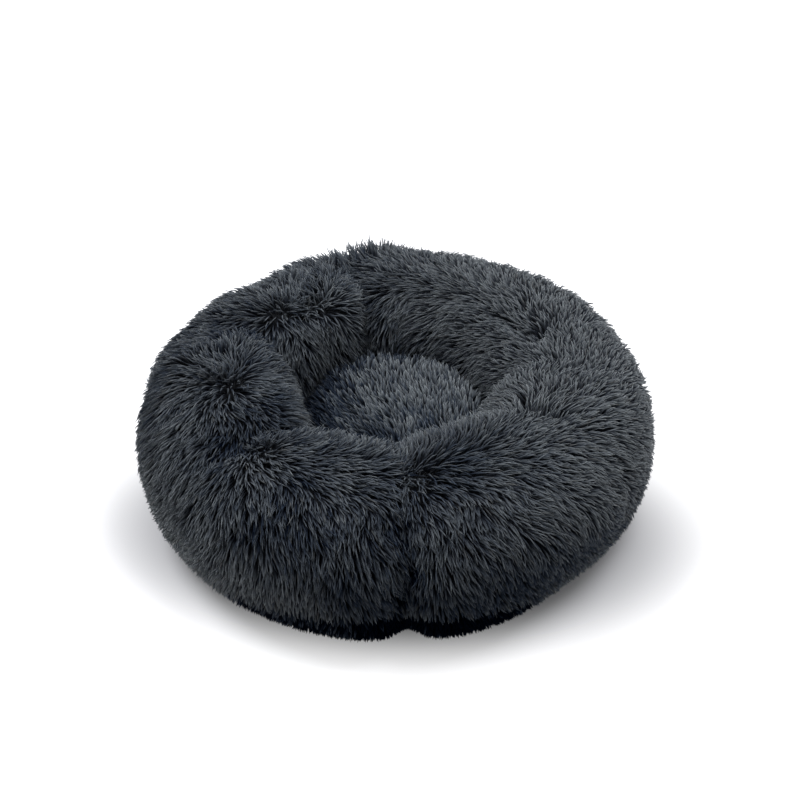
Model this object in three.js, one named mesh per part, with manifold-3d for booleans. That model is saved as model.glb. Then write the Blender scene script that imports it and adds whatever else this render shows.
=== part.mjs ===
// Donut pet bed: a stuffed plush bolster ring round a domed cushion, on a flat base cloth.
// Millimetres, +Z up. The origin is the centre of the base cloth's underside.
// The camera side of the bed is -Y, and the zip is at the back, on +Y.
import * as THREE from 'three';
import { mergeVertices } from 'three/addons/utils/BufferGeometryUtils.js';
import Module from 'manifold-3d';

const wasm = await Module();
wasm.setup();

// Overall sizes, over the pile as it lies
const bedRadius = 250;
const crestHeight = 151;
const bellyHeight = 74;
const ringHalfWidth = 82.5;
const holeRadius = 86;
const holeOffsetX = -6;
const holeOffsetY = 11;
const ringRoundness = 2.2;

// Gap kept between pieces that touch on the real bed
const gap = 0.3;

// Gathers of the ring: azimuths in degrees, and how deep each draws the section in
const creaseAzimuths = [22, 105, 132, 179, 217, 272, 330];
const creaseDepthShares = [0.04, 0.12, 0.09, 0.05, 0.08, 0.12, 0.08];
const creaseHalfAngle = 15;
const stationAngle = 9;
const creaseFadeStart = -0.1;
const creaseFadeEnd = -0.58;

// Cloth and pile
const pileDepth = 14;
const linerThickness = 1;
const linerSlitAngle = 3;
const footAngle = 18;
const baseThickness = 1.2;
const seamHeight = 8;
const zipTopHeight = 26;
const bindingWidth = 7;
const bindingThickness = 1.2;
const raisedEdgeAllowance = 1.5;
const seamTapeWidth = 12;
const seamTapeThickness = 0.8;

// Cushion
const cushionRimHeight = 86;
const cushionCrownHeight = 104;
const cushionSideThickness = 8;
const backingThickness = 0.6;

// Zip
const zipFirstCrease = 0;
const zipLastCrease = 2;
const zipEndMargin = 8;
const zipTail = 8;
const tapeThickness = 0.6;
const tapeReach = 12;
const chainThickness = 1.8;
const chainWidth = 5.6;
const wedgeThickness = 1;
const runClearance = 0.25;
const sliderLength = 12;
const sliderWidth = 8.6;
const sliderPlate = 0.8;
const sliderWedgeLength = 4;
const stopLength = 2.5;
const pinRadius = 0.7;
const eyeRadius = 1.7;
const eyeWidth = 2.4;
const postThickness = 1;
const postLength = 2.6;
const pullLength = 15;
const pullWidth = 5.5;
const pullThickness = 1.2;
const pullNeckLength = 4;
const roundSides = 16;
const zipStepAngle = 3;

// Care label, left blank
const labelAzimuth = 150;
const labelWidth = 30;
const labelReach = 30;
const labelThickness = 0.5;
const labelClearance = 0.6;
const labelReachShares = [0, 0.08, 0.3, 0.6, 1];
const labelHeightShares = [1, 0.5, 0.15, 0.04, 0];

const degree = Math.PI / 180;
const quarterTurn = 90;
const halfTurn = 180;
const fullTurn = 360;
const ringCentreRadius = bedRadius - ringHalfWidth;

// Layers of the ring, from the pile inwards: how far inside the pile, and where each one's lowest line is
const layers = {
  pile: { inset: 0, floor: 0 },
  baseOutside: { inset: pileDepth - baseThickness, floor: 0 },
  coverInside: { inset: pileDepth, floor: baseThickness },
};
layers.linerOutside = deeper(layers.coverInside, gap);
layers.linerInside = deeper(layers.linerOutside, linerThickness);
layers.fill = deeper(layers.linerInside, gap);

function deeper(layer, depth) {
  return { inset: layer.inset + depth, floor: layer.floor + depth };
}

// How far the nearest gather draws the ring in at this azimuth, as a share of its section
function creaseShare(azimuth) {
  let share = 0;
  creaseAzimuths.forEach((crease, i) => {
    const turn = Math.abs(azimuth - crease) % fullTurn;
    const away = Math.min(turn, fullTurn - turn) / creaseHalfAngle;
    if (away < 1) share = Math.max(share, creaseDepthShares[i] * (1 - away) ** 2);
  });
  return share;
}

function holeRadiusAt(azimuth) {
  const angle = azimuth * degree;
  return holeRadius + holeOffsetX * Math.cos(angle) + holeOffsetY * Math.sin(angle);
}

function signedPower(value, power) {
  return Math.sign(value) * Math.abs(value) ** power;
}

// Point [radius, height] of a ring layer. The section angle is 0 outside, 90 on the crest, 180 at the hole.
function ringPoint(azimuth, sectionAngle, layer) {
  const cos = Math.cos(sectionAngle * degree);
  const sin = Math.sin(sectionAngle * degree);
  const fade = THREE.MathUtils.smoothstep(sin, creaseFadeEnd, creaseFadeStart);
  const kept = 1 - creaseShare(azimuth) * fade;
  const halfWidth = (cos >= 0 ? ringHalfWidth : ringCentreRadius - holeRadiusAt(azimuth)) - layer.inset;
  const halfHeight = sin >= 0 ? crestHeight - bellyHeight - layer.inset : bellyHeight - layer.floor;
  return [
    ringCentreRadius + kept * halfWidth * signedPower(cos, 2 / ringRoundness),
    bellyHeight + kept * halfHeight * signedPower(sin, 2 / ringRoundness),
  ];
}

// Section angle at which a layer's lower half is this high, counted back from 0 on the outside
function lowerAngle(height, layer) {
  const rise = (bellyHeight - height) / (bellyHeight - layer.floor);
  return -Math.asin(rise ** (ringRoundness / 2)) / degree;
}

const seamAngle = lowerAngle(seamHeight, layers.coverInside);
const zipTopAngle = lowerAngle(zipTopHeight, layers.coverInside);
const seamTapeFloor = baseThickness + gap;
const innerEndHeight = seamTapeFloor + seamTapeThickness + gap;
const innerEndAngle = halfTurn - lowerAngle(innerEndHeight, layers.pile);

// Section angles shared by all the layers inside the cover, so that their facets stay parallel
const innerAngles = [zipTopAngle, -8, 25, 58, 90, 122, 152, 180, 212, innerEndAngle];
const pileAngles = [-16, 0, 20, 42, 66, 90, 116, 140, 160, 180, 204, 228, innerEndAngle];
const bottomAngle = 3 * quarterTurn;
const bottomAngles = [bottomAngle - linerSlitAngle, bottomAngle + linerSlitAngle, bottomAngle + footAngle];

// Azimuths at which the soft pieces have a section: each gather, and even steps between gathers
const stations = creaseAzimuths.flatMap((crease, i) => {
  const next = creaseAzimuths[i + 1] ?? creaseAzimuths[0] + fullTurn;
  const count = Math.max(2, Math.round((next - crease) / stationAngle));
  return Array.from({ length: count }, (_, k) => crease + ((next - crease) * k) / count);
});

// A geometry from points and triangles, turned to face outwards
function solid(points, triangles) {
  const geometry = new THREE.BufferGeometry();
  geometry.setAttribute('position', new THREE.Float32BufferAttribute(points.flat(), 3));
  const a = new THREE.Vector3();
  const b = new THREE.Vector3();
  const c = new THREE.Vector3();
  let volume = 0;
  for (const [i, j, k] of triangles) {
    volume += a.fromArray(points[i]).dot(b.fromArray(points[j]).cross(c.fromArray(points[k])));
  }
  const faces = volume < 0 ? triangles.map(([i, j, k]) => [i, k, j]) : triangles;
  geometry.setIndex(faces.flat());
  return geometry;
}

function placed([radius, height], azimuth) {
  return [radius * Math.cos(azimuth * degree), radius * Math.sin(azimuth * degree), height];
}

// Whether a step of a section leads anticlockwise about the middle of the ring's section
function leadsForward([fromRadius, fromHeight], [toRadius, toHeight]) {
  const across = (fromRadius - ringCentreRadius) * (toHeight - bellyHeight);
  return across > (fromHeight - bellyHeight) * (toRadius - ringCentreRadius);
}

// Joins the closed sections around the bed. A section point at radius 0 is one point on the axis.
// Each facet is split along the same diagonal in every layer, so that nested layers stay parallel.
function around(sectionAt) {
  const points = [];
  const triangles = [];
  const axisPoints = new Map();
  const sections = stations.map(sectionAt);
  const rows = sections.map((section, i) =>
    section.map((point, column) => {
      if (point[0] > 0) return points.push(placed(point, stations[i])) - 1;
      if (!axisPoints.has(column)) axisPoints.set(column, points.push([0, 0, point[1]]) - 1);
      return axisPoints.get(column);
    }),
  );
  rows.forEach((row, i) => {
    const next = rows[(i + 1) % rows.length];
    row.forEach((a, column) => {
      const after = (column + 1) % row.length;
      const [b, c, d] = [row[after], next[after], next[column]];
      const forward = leadsForward(sections[i][column], sections[i][after]);
      for (const triangle of forward ? [[a, b, c], [a, c, d]] : [[a, b, d], [b, c, d]]) {
        if (new Set(triangle).size === 3) triangles.push(triangle);
      }
    });
  });
  return solid(points, triangles);
}

// Sweeps a closed convex section along an arc about the bed's axis, and closes both ends
function alongArc(section, startAzimuth, endAzimuth) {
  const points = [];
  const triangles = [];
  const count = section.length;
  const steps = Math.ceil((endAzimuth - startAzimuth) / zipStepAngle);
  for (let i = 0; i <= steps; i += 1) {
    const azimuth = startAzimuth + ((endAzimuth - startAzimuth) * i) / steps;
    section.forEach((point) => points.push(placed(point, azimuth)));
  }
  for (let i = 0; i < steps; i += 1) {
    section.forEach((_, k) => {
      const a = i * count + k;
      const b = i * count + ((k + 1) % count);
      triangles.push([a, b, b + count], [a, b + count, a + count]);
    });
  }
  const last = steps * count;
  for (let k = 1; k < count - 1; k += 1) {
    triangles.push([0, k + 1, k], [last, last + k, last + k + 1]);
  }
  return solid(points, triangles);
}

// Solid geometry through manifold-3d, for the pieces that are joined or cut
function toManifold(geometry) {
  const bare = geometry.clone();
  bare.deleteAttribute('normal');
  bare.deleteAttribute('uv');
  const merged = mergeVertices(bare);
  return new wasm.Manifold(new wasm.Mesh({
    numProp: 3,
    vertProperties: new Float32Array(merged.attributes.position.array),
    triVerts: new Uint32Array(merged.index.array),
  }));
}

function fromManifold(body) {
  const mesh = body.getMesh();
  const geometry = new THREE.BufferGeometry();
  geometry.setAttribute('position', new THREE.Float32BufferAttribute(mesh.vertProperties, 3));
  geometry.setIndex(Array.from(mesh.triVerts));
  return geometry;
}

function block(xSize, ySize, zSize, x, y, z) {
  return toManifold(new THREE.BoxGeometry(xSize, ySize, zSize).translate(x, y, z));
}

// Cloth and metal
const materials = {
  plush: new THREE.MeshStandardMaterial({ color: 0x3c4248, roughness: 0.95, metalness: 0 }),
  cushionPlush: new THREE.MeshStandardMaterial({ color: 0x484d53, roughness: 0.95, metalness: 0 }),
  nonWoven: new THREE.MeshStandardMaterial({ color: 0xe4e3df, roughness: 0.9, metalness: 0 }),
  fibre: new THREE.MeshStandardMaterial({ color: 0xf4f4f2, roughness: 1, metalness: 0 }),
  baseCloth: new THREE.MeshStandardMaterial({ color: 0x17191c, roughness: 0.75, metalness: 0 }),
  binding: new THREE.MeshStandardMaterial({ color: 0x121417, roughness: 0.8, metalness: 0 }),
  zipTape: new THREE.MeshStandardMaterial({ color: 0x202327, roughness: 0.85, metalness: 0 }),
  zipCoil: new THREE.MeshStandardMaterial({ color: 0x1b1d20, roughness: 0.45, metalness: 0 }),
  zipMetal: new THREE.MeshStandardMaterial({ color: 0x3d3f42, roughness: 0.35, metalness: 1 }),
  label: new THREE.MeshStandardMaterial({ color: 0xf1f0ec, roughness: 0.6, metalness: 0 }),
};

function piece(name, geometry, material) {
  geometry.computeVertexNormals();
  const mesh = new THREE.Mesh(geometry, material.clone());
  mesh.name = name;
  return mesh;
}

// The stretch of the liner between the base seam and the raised edge is straight in section.
// The binding and the zip lie on it: s runs up it from the seam, and n leads away from the filling.
const seamPoint = ringPoint(quarterTurn, seamAngle, layers.linerOutside);
const zipTopPoint = ringPoint(quarterTurn, zipTopAngle, layers.linerOutside);
const bandLength = Math.hypot(zipTopPoint[0] - seamPoint[0], zipTopPoint[1] - seamPoint[1]);
const bandRise = (zipTopPoint[1] - seamPoint[1]) / bandLength;
const bandRun = (zipTopPoint[0] - seamPoint[0]) / bandLength;

function bandPoint(s, n) {
  return [seamPoint[0] + s * bandRun + n * bandRise, seamPoint[1] + s * bandRise - n * bandRun];
}

function bandSection(lowS, highS, lowN, highN) {
  return [bandPoint(lowS, lowN), bandPoint(highS, lowN), bandPoint(highS, highN), bandPoint(lowS, highN)];
}

// Zip sizes along and across the band
const raisedEdge = bandLength - raisedEdgeAllowance;
const zipCentre = raisedEdge - gap - tapeReach;
const zipPlane = gap + Math.max(
  bindingThickness + gap + tapeThickness / 2,
  sliderPlate + runClearance + chainThickness / 2,
);
const zipRadius = bandPoint(zipCentre, zipPlane)[0];
const anglePerLength = 1 / (zipRadius * degree);
const tapeStart = creaseAzimuths[zipFirstCrease] + zipEndMargin * anglePerLength;
const tapeEnd = creaseAzimuths[zipLastCrease] - zipEndMargin * anglePerLength;
const topStopStart = tapeStart + zipTail * anglePerLength;
const topStopEnd = topStopStart + stopLength * anglePerLength;
const coilStart = topStopEnd + gap * anglePerLength;
const bottomStopEnd = tapeEnd - zipTail * anglePerLength;
const bottomStopStart = bottomStopEnd - stopLength * anglePerLength;
const coilEnd = bottomStopStart - gap * anglePerLength;
const sliderRest = coilStart + (gap + sliderLength / 2) * anglePerLength;
const sliderFarEnd = coilEnd - (gap + sliderLength / 2) * anglePerLength;
const chainGap = wedgeThickness + 2 * runClearance;

// Ring: the plush cover is open underneath, where the base cloth closes it
function coverEnd(azimuth) {
  const raised = azimuth >= creaseAzimuths[zipFirstCrease] && azimuth <= creaseAzimuths[zipLastCrease];
  return (raised ? raisedEdge : bindingWidth + gap) / bandLength;
}

function ringCover() {
  return around((azimuth) => {
    const share = coverEnd(azimuth);
    const low = ringPoint(azimuth, seamAngle, layers.coverInside);
    const high = ringPoint(azimuth, zipTopAngle, layers.coverInside);
    const end = low.map((value, i) => value + (high[i] - value) * share);
    const endAngle = seamAngle + (zipTopAngle - seamAngle) * share;
    const outside = [endAngle, ...pileAngles].map((angle) => ringPoint(azimuth, angle, layers.pile));
    const inside = innerAngles.map((angle) => ringPoint(azimuth, angle, layers.coverInside));
    return [...outside, ...inside.reverse(), end];
  });
}

// The liner bag is sewn up along a seam underneath, which is left open here by a slit
function ringLiner() {
  const angles = [...bottomAngles.slice(1), seamAngle, ...innerAngles, bottomAngles[0]];
  return around((azimuth) => [
    ...angles.map((angle) => ringPoint(azimuth, angle, layers.linerOutside)),
    ...angles.map((angle) => ringPoint(azimuth, angle, layers.linerInside)).reverse(),
  ]);
}

function ringFill() {
  const angles = [...bottomAngles, seamAngle, ...innerAngles];
  return around((azimuth) => angles.map((angle) => ringPoint(azimuth, angle, layers.fill)));
}

// Cushion: its side lies against the ring's inner wall, and its top is a low dome
const sideAngles = pileAngles.filter((angle) => angle >= halfTurn);
const domeShares = [0.35, 0.7, 0.9];

function domePoints(rim, rimHeight, crownHeight) {
  const rise = crownHeight - rimHeight;
  const points = domeShares.map((share) => [rim * share, rimHeight + rise * Math.sqrt(1 - share ** 2)]);
  return [[0, crownHeight], ...points, [rim, rimHeight]];
}

function sidePoints(azimuth, depth) {
  return sideAngles.map((angle) => {
    const [radius, height] = ringPoint(azimuth, angle, layers.pile);
    return [radius - gap - depth, height];
  });
}

function cushionSection(azimuth, sideDepth, topDepth) {
  const side = sidePoints(azimuth, sideDepth);
  const dome = domePoints(side[0][0], cushionRimHeight - topDepth, cushionCrownHeight - topDepth);
  return [...dome, ...side.filter(([, height]) => height < cushionRimHeight - topDepth)];
}

function cushionCover() {
  return around((azimuth) => [
    ...cushionSection(azimuth, 0, 0),
    ...cushionSection(azimuth, cushionSideThickness, pileDepth).reverse(),
  ]);
}

function cushionFill() {
  const floor = seamTapeFloor + backingThickness + gap;
  return around((azimuth) => {
    const section = cushionSection(azimuth, cushionSideThickness + gap, pileDepth + gap);
    const foot = section[section.length - 1];
    return [...section, [foot[0], floor], [0, floor]];
  });
}

function cushionBacking() {
  const top = seamTapeFloor + backingThickness;
  return around((azimuth) => {
    const rim = seamTapeCentre(azimuth) - seamTapeWidth / 2 - gap;
    return [[0, seamTapeFloor], [rim, seamTapeFloor], [rim, top], [0, top]];
  });
}

// Seam tape between the ring, the cushion and the base
function seamTapeCentre(azimuth) {
  return ringPoint(azimuth, innerEndAngle, layers.pile)[0];
}

function innerSeamTape() {
  const top = seamTapeFloor + seamTapeThickness;
  return around((azimuth) => {
    const inner = seamTapeCentre(azimuth) - seamTapeWidth / 2;
    const outer = inner + seamTapeWidth;
    return [[inner, seamTapeFloor], [outer, seamTapeFloor], [outer, top], [inner, top]];
  });
}

// Base cloth: flat under the bed, with its rim drawn up round the filling to the seam
function basePanel() {
  const angles = [bottomAngle, ...bottomAngles.slice(1), seamAngle + fullTurn];
  return around((azimuth) => [
    [0, 0],
    ...angles.map((angle) => ringPoint(azimuth, angle, layers.baseOutside)),
    ...angles.map((angle) => ringPoint(azimuth, angle, layers.coverInside)).reverse(),
    [0, baseThickness],
  ]);
}

function baseBinding() {
  return around(() => bandSection(gap, bindingWidth, gap, gap + bindingThickness));
}

// Zip: tapes, coils and stops lie along the band, between the binding and the cover's raised edge
function zipStrip(fromCentre, toCentre, thickness, start, end) {
  const low = zipCentre + Math.min(fromCentre, toCentre);
  const high = zipCentre + Math.max(fromCentre, toCentre);
  const half = thickness / 2;
  return alongArc(bandSection(low, high, zipPlane - half, zipPlane + half), start, end);
}

function zipTape(side) {
  return zipStrip(side * (chainWidth / 2 + gap), side * tapeReach, tapeThickness, tapeStart, tapeEnd);
}

function chainHalf(side, start, end) {
  return zipStrip(side * (chainGap / 2), side * (chainWidth / 2), chainThickness, start, end);
}

function bottomStop() {
  return zipStrip(-chainWidth / 2, chainWidth / 2, chainThickness, bottomStopStart, bottomStopEnd);
}

// Slider: two channelled plates joined by the wedge, with a pin between two posts on its outer face
const channelHalf = chainThickness / 2 + runClearance;
const slotHalf = tapeThickness / 2 + runClearance;
const channelReach = chainWidth / 2 + runClearance;
const plateTop = channelHalf + sliderPlate;
const pinHeight = plateTop + runClearance + eyeRadius;

function sliderPlateSolid(side) {
  const half = sliderWidth / 2;
  const outline = [
    [-half, slotHalf], [-channelReach, slotHalf], [-channelReach, channelHalf], [channelReach, channelHalf],
    [channelReach, slotHalf], [half, slotHalf], [half, plateTop], [-half, plateTop],
  ];
  const shape = new THREE.Shape(outline.map(([y, z]) => new THREE.Vector2(y, z * side)));
  const geometry = new THREE.ExtrudeGeometry(shape, { depth: sliderLength, bevelEnabled: false });
  // The outline is drawn across the chain, and the extrusion is turned to run along it
  geometry.translate(0, 0, -sliderLength / 2).rotateX(Math.PI / 2).rotateZ(Math.PI / 2);
  return toManifold(geometry);
}

function slider() {
  // The wedge end faces the top stops
  const wedgeX = sliderWedgeLength / 2 - sliderLength / 2;
  const postY = eyeWidth / 2 + runClearance + postThickness / 2;
  const postBottom = plateTop - sliderPlate / 2;
  const postTop = pinHeight + pinRadius;
  let body = sliderPlateSolid(1)
    .add(sliderPlateSolid(-1))
    .add(block(sliderWedgeLength, wedgeThickness, 2 * (channelHalf + sliderPlate / 2), wedgeX, 0, 0));
  for (const side of [-1, 1]) {
    const height = postTop - postBottom;
    body = body.add(block(postLength, postThickness, height, 0, side * postY, postBottom + height / 2));
  }
  const pin = new THREE.CylinderGeometry(pinRadius, pinRadius, 2 * postY, roundSides);
  pin.translate(0, 0, pinHeight);
  return fromManifold(body.add(toManifold(pin)));
}

// Pull tab: an eye round the slider's pin, a neck, and a flat tab with a round end
function pull() {
  const boreRadius = pinRadius + runClearance;
  const eye = new THREE.CylinderGeometry(eyeRadius, eyeRadius, eyeWidth, roundSides);
  const bore = new THREE.CylinderGeometry(boreRadius, boreRadius, 2 * eyeWidth, roundSides);
  const neck = block(pullNeckLength, eyeWidth, pullThickness, pullNeckLength / 2, 0, 0);
  const half = pullWidth / 2;
  const start = pullNeckLength - pullThickness;
  const shape = new THREE.Shape();
  shape.moveTo(start, -half);
  shape.lineTo(pullLength - half, -half);
  shape.absarc(pullLength - half, 0, half, -Math.PI / 2, Math.PI / 2, false);
  shape.lineTo(start, half);
  shape.closePath();
  const flat = { depth: pullThickness, bevelEnabled: false, curveSegments: roundSides / 2 };
  const tab = new THREE.ExtrudeGeometry(shape, flat);
  tab.translate(0, 0, -pullThickness / 2);
  return fromManifold(toManifold(eye).add(neck).add(toManifold(tab)).subtract(toManifold(bore)));
}

// A group whose x runs along the zip, y up the band and z away from the filling
function zipFrame(azimuth) {
  const [radius, height] = bandPoint(zipCentre, zipPlane);
  const angle = azimuth * degree;
  const outward = new THREE.Vector3(Math.cos(angle), Math.sin(angle), 0);
  const up = new THREE.Vector3(0, 0, 1);
  const along = new THREE.Vector3(-Math.sin(angle), Math.cos(angle), 0);
  const across = outward.clone().multiplyScalar(bandRun).addScaledVector(up, bandRise);
  const away = new THREE.Vector3().crossVectors(along, across);
  const frame = new THREE.Group();
  frame.setRotationFromMatrix(new THREE.Matrix4().makeBasis(along, across, away));
  frame.position.copy(outward).multiplyScalar(radius).addScaledVector(up, height);
  return frame;
}

// Care label: sewn to the binding, and hanging out under the ring's overhang
function careLabel() {
  const top = bandPoint(bindingWidth - labelClearance, gap + bindingThickness + gap + labelThickness / 2);
  const half = labelThickness / 2;
  const foot = labelClearance + half;
  const line = labelReachShares.map((share, i) => [
    top[0] + labelReach * share,
    foot + (top[1] - foot) * labelHeightShares[i],
  ]);
  const sides = line.map(([x, z], i) => {
    const before = line[Math.max(i - 1, 0)];
    const after = line[Math.min(i + 1, line.length - 1)];
    const length = Math.hypot(after[0] - before[0], after[1] - before[1]);
    const across = [(-(after[1] - before[1]) / length) * half, ((after[0] - before[0]) / length) * half];
    return [new THREE.Vector2(x + across[0], z + across[1]), new THREE.Vector2(x - across[0], z - across[1])];
  });
  const outline = [...sides.map(([above]) => above), ...sides.map(([, below]) => below).reverse()];
  const shape = new THREE.Shape(outline);
  const label = new THREE.ExtrudeGeometry(shape, { depth: labelWidth, bevelEnabled: false });
  return label.translate(0, 0, -labelWidth / 2).rotateX(Math.PI / 2).rotateZ(labelAzimuth * degree);
}

const bed = new THREE.Group();
bed.name = 'donut_pet_bed';
bed.add(
  piece('ring_cover', ringCover(), materials.plush),
  piece('ring_liner', ringLiner(), materials.nonWoven),
  piece('ring_fill', ringFill(), materials.fibre),
  piece('cushion_cover', cushionCover(), materials.cushionPlush),
  piece('cushion_fill', cushionFill(), materials.fibre),
  piece('cushion_backing', cushionBacking(), materials.nonWoven),
  piece('inner_seam_tape', innerSeamTape(), materials.binding),
  piece('base_panel', basePanel(), materials.baseCloth),
  piece('base_binding', baseBinding(), materials.binding),
  piece('zip_tape_upper', zipTape(1), materials.zipTape),
  piece('zip_tape_lower', zipTape(-1), materials.zipTape),
  piece('zip_coil_upper', chainHalf(1, coilStart, coilEnd), materials.zipCoil),
  piece('zip_coil_lower', chainHalf(-1, coilStart, coilEnd), materials.zipCoil),
  piece('zip_top_stop_upper', chainHalf(1, topStopStart, topStopEnd), materials.zipMetal),
  piece('zip_top_stop_lower', chainHalf(-1, topStopStart, topStopEnd), materials.zipMetal),
  piece('zip_bottom_stop', bottomStop(), materials.zipMetal),
  piece('care_label', careLabel(), materials.label),
);

const sliderFrame = zipFrame(sliderRest);
// The pull hangs from its pin
const pullFrame = new THREE.Group();
pullFrame.position.z = pinHeight;
pullFrame.rotation.y = -quarterTurn * degree;
pullFrame.add(piece('zip_pull', pull(), materials.zipMetal));
sliderFrame.add(piece('zip_slider', slider(), materials.zipMetal), pullFrame);
bed.add(sliderFrame);

export default bed;
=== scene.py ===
# Donut pet bed: a long-pile plush bolster ring round a domed cushion, on a black non-slip base cloth.
# Metres, +Z up. The front is -Y, and the cover's zip is at the back.
import math

import bpy
import numpy as np
from mathutils import Matrix, Vector, kdtree


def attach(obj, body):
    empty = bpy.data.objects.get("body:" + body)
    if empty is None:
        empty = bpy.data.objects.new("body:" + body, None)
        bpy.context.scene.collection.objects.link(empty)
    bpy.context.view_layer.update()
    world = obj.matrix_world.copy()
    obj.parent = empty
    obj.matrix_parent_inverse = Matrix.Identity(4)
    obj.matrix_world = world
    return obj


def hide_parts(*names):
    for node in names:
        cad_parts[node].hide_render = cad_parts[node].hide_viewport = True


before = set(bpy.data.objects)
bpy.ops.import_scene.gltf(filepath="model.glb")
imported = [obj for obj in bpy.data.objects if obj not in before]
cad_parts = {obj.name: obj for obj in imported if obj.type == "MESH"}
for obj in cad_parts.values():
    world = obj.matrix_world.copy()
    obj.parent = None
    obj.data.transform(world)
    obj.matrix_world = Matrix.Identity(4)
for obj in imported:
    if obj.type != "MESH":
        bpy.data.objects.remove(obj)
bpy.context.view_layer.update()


# Camera, floor and light
# The photograph looks down on the bed from the front, with a moderate tele lens.
camera_place = (0, -1.0536, 0.957)
camera_elevation = 39.45
camera_lens = 63.27
frame_shift_x = 0.00625
frame_shift_y = 0.01456
film_width = 36.0
picture_size = 800

camera = bpy.data.objects.new("camera", bpy.data.cameras.new("camera"))
bpy.context.scene.collection.objects.link(camera)
camera.location = camera_place
camera.rotation_euler = (math.radians(90 - camera_elevation), 0, 0)
camera.data.lens = camera_lens
camera.data.sensor_width = film_width
camera.data.shift_x = frame_shift_x
camera.data.shift_y = frame_shift_y
bpy.context.scene.camera = camera
bpy.context.scene.view_settings.view_transform = "Standard"


def feed(tree, node, inputs):
    """Gives a node's inputs, by name or number, a value or another node's socket."""
    for key, value in inputs.items():
        if isinstance(value, bpy.types.NodeSocket):
            tree.links.new(value, node.inputs[key])
        else:
            node.inputs[key].default_value = value


def add(tree, kind, inputs=None, **settings):
    """A new shader node with these settings and inputs."""
    node = tree.nodes.new(f"ShaderNode{kind}")
    for name, value in settings.items():
        setattr(node, name, value)
    feed(tree, node, inputs or {})
    return node


def show_by_ray(tree, out_kind, for_light, for_eyes):
    """Shows one shader to the light that bounces, and the other to the camera, in metal and in glass."""
    path = add(tree, "LightPath").outputs
    direct = add(tree, "Math", {0: path["Is Camera Ray"], 1: path["Is Glossy Ray"]}, operation="MAXIMUM")
    seen = add(tree, "Math", {0: direct.outputs[0], 1: path["Is Transmission Ray"]}, operation="MAXIMUM")
    chosen = add(tree, "MixShader", {0: seen.outputs[0], 1: for_light.outputs[0], 2: for_eyes.outputs[0]})
    add(tree, out_kind, {"Surface": chosen.outputs[0]})


# The floor is white to the eye and a paler grey to the light that it sends back, and it keeps the shadow.
# Its white glow also fades in an oval round the bed: a painted shadow, darkest where the bed touches it.
floor_reach = 6.0
floor_glow = 0.845
floor_least_glow = 0.05
floor_cloth = (0.585, 0.59, 0.62)
floor_bounce = 0.14
shade_inner = 0.113
shade_outer = 0.1945
shade_middle = (-0.003, -0.069)
shade_turn = -3.5
shade_stretch = 1.835
white_light = (1, 1, 1, 1)
bpy.ops.object.select_all(action="DESELECT")
bpy.ops.mesh.primitive_plane_add(size=2 * floor_reach)
floor = bpy.context.object
floor.name = "floor"
floor_material = bpy.data.materials.new("floor")
floor_material.use_nodes = True
tree = floor_material.node_tree
tree.nodes.clear()
# Painted shadow: inside this oval round the bed the floor's glow fades down to its least
oval = add(tree, "Mapping", {
    "Vector": add(tree, "TexCoord").outputs["Object"], "Location": (*shade_middle, 0),
    "Rotation": (0, 0, math.radians(shade_turn)), "Scale": (shade_stretch, 1, 1)}, vector_type="TEXTURE")
away = add(tree, "VectorMath", {0: oval.outputs["Vector"]}, operation="LENGTH")
clear = add(tree, "MapRange", {
    "Value": away.outputs["Value"], "From Min": shade_inner, "From Max": shade_outer,
    "To Min": floor_least_glow, "To Max": floor_glow}, interpolation_type="SMOOTHSTEP")
pale = add(tree, "BsdfDiffuse", {"Color": (*floor_cloth, 1)})
glow = add(tree, "Emission", {"Color": white_light, "Strength": clear.outputs["Result"]})
both = add(tree, "AddShader", {0: pale.outputs[0], 1: glow.outputs[0]})
grey = add(tree, "BsdfDiffuse", {"Color": (floor_bounce, floor_bounce, floor_bounce, 1)})
show_by_ray(tree, "OutputMaterial", grey, both)
floor.data.materials.append(floor_material)

# Two soft boxes above the bed and a little behind it, the stronger one on the left, in a white room that is
# dimmer lower down.
room_light_low = 0.10
room_light_high = 0.46
light_target = (0, 0, 0.08)
world = bpy.context.scene.world or bpy.data.worlds.new("world")
bpy.context.scene.world = world
world.use_nodes = True
tree = world.node_tree
tree.nodes.clear()
level = add(tree, "SeparateXYZ", {0: add(tree, "TexCoord").outputs["Generated"]})
fade = add(tree, "MapRange", {
    "Value": level.outputs["Z"], "From Min": 0, "From Max": 1, "To Min": room_light_low,
    "To Max": room_light_high})
dim = add(tree, "Background", {"Color": white_light, "Strength": fade.outputs["Result"]})
white = add(tree, "Background", {"Color": white_light, "Strength": 1})
show_by_ray(tree, "OutputWorld", dim, white)


def soft_box(name, place, size, power):
    light = bpy.data.lights.new(name, "AREA")
    light.shape = "DISK"
    light.size = size
    light.energy = power
    lamp = bpy.data.objects.new(name, light)
    bpy.context.scene.collection.objects.link(lamp)
    lamp.location = place
    lamp.rotation_euler = (Vector(light_target) - Vector(place)).to_track_quat("-Z", "Y").to_euler()


soft_box("left_box", (-0.95, 0.30, 1.45), size=0.9, power=18)
soft_box("right_box", (0.70, 0.05, 1.65), size=1.0, power=13)


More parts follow.
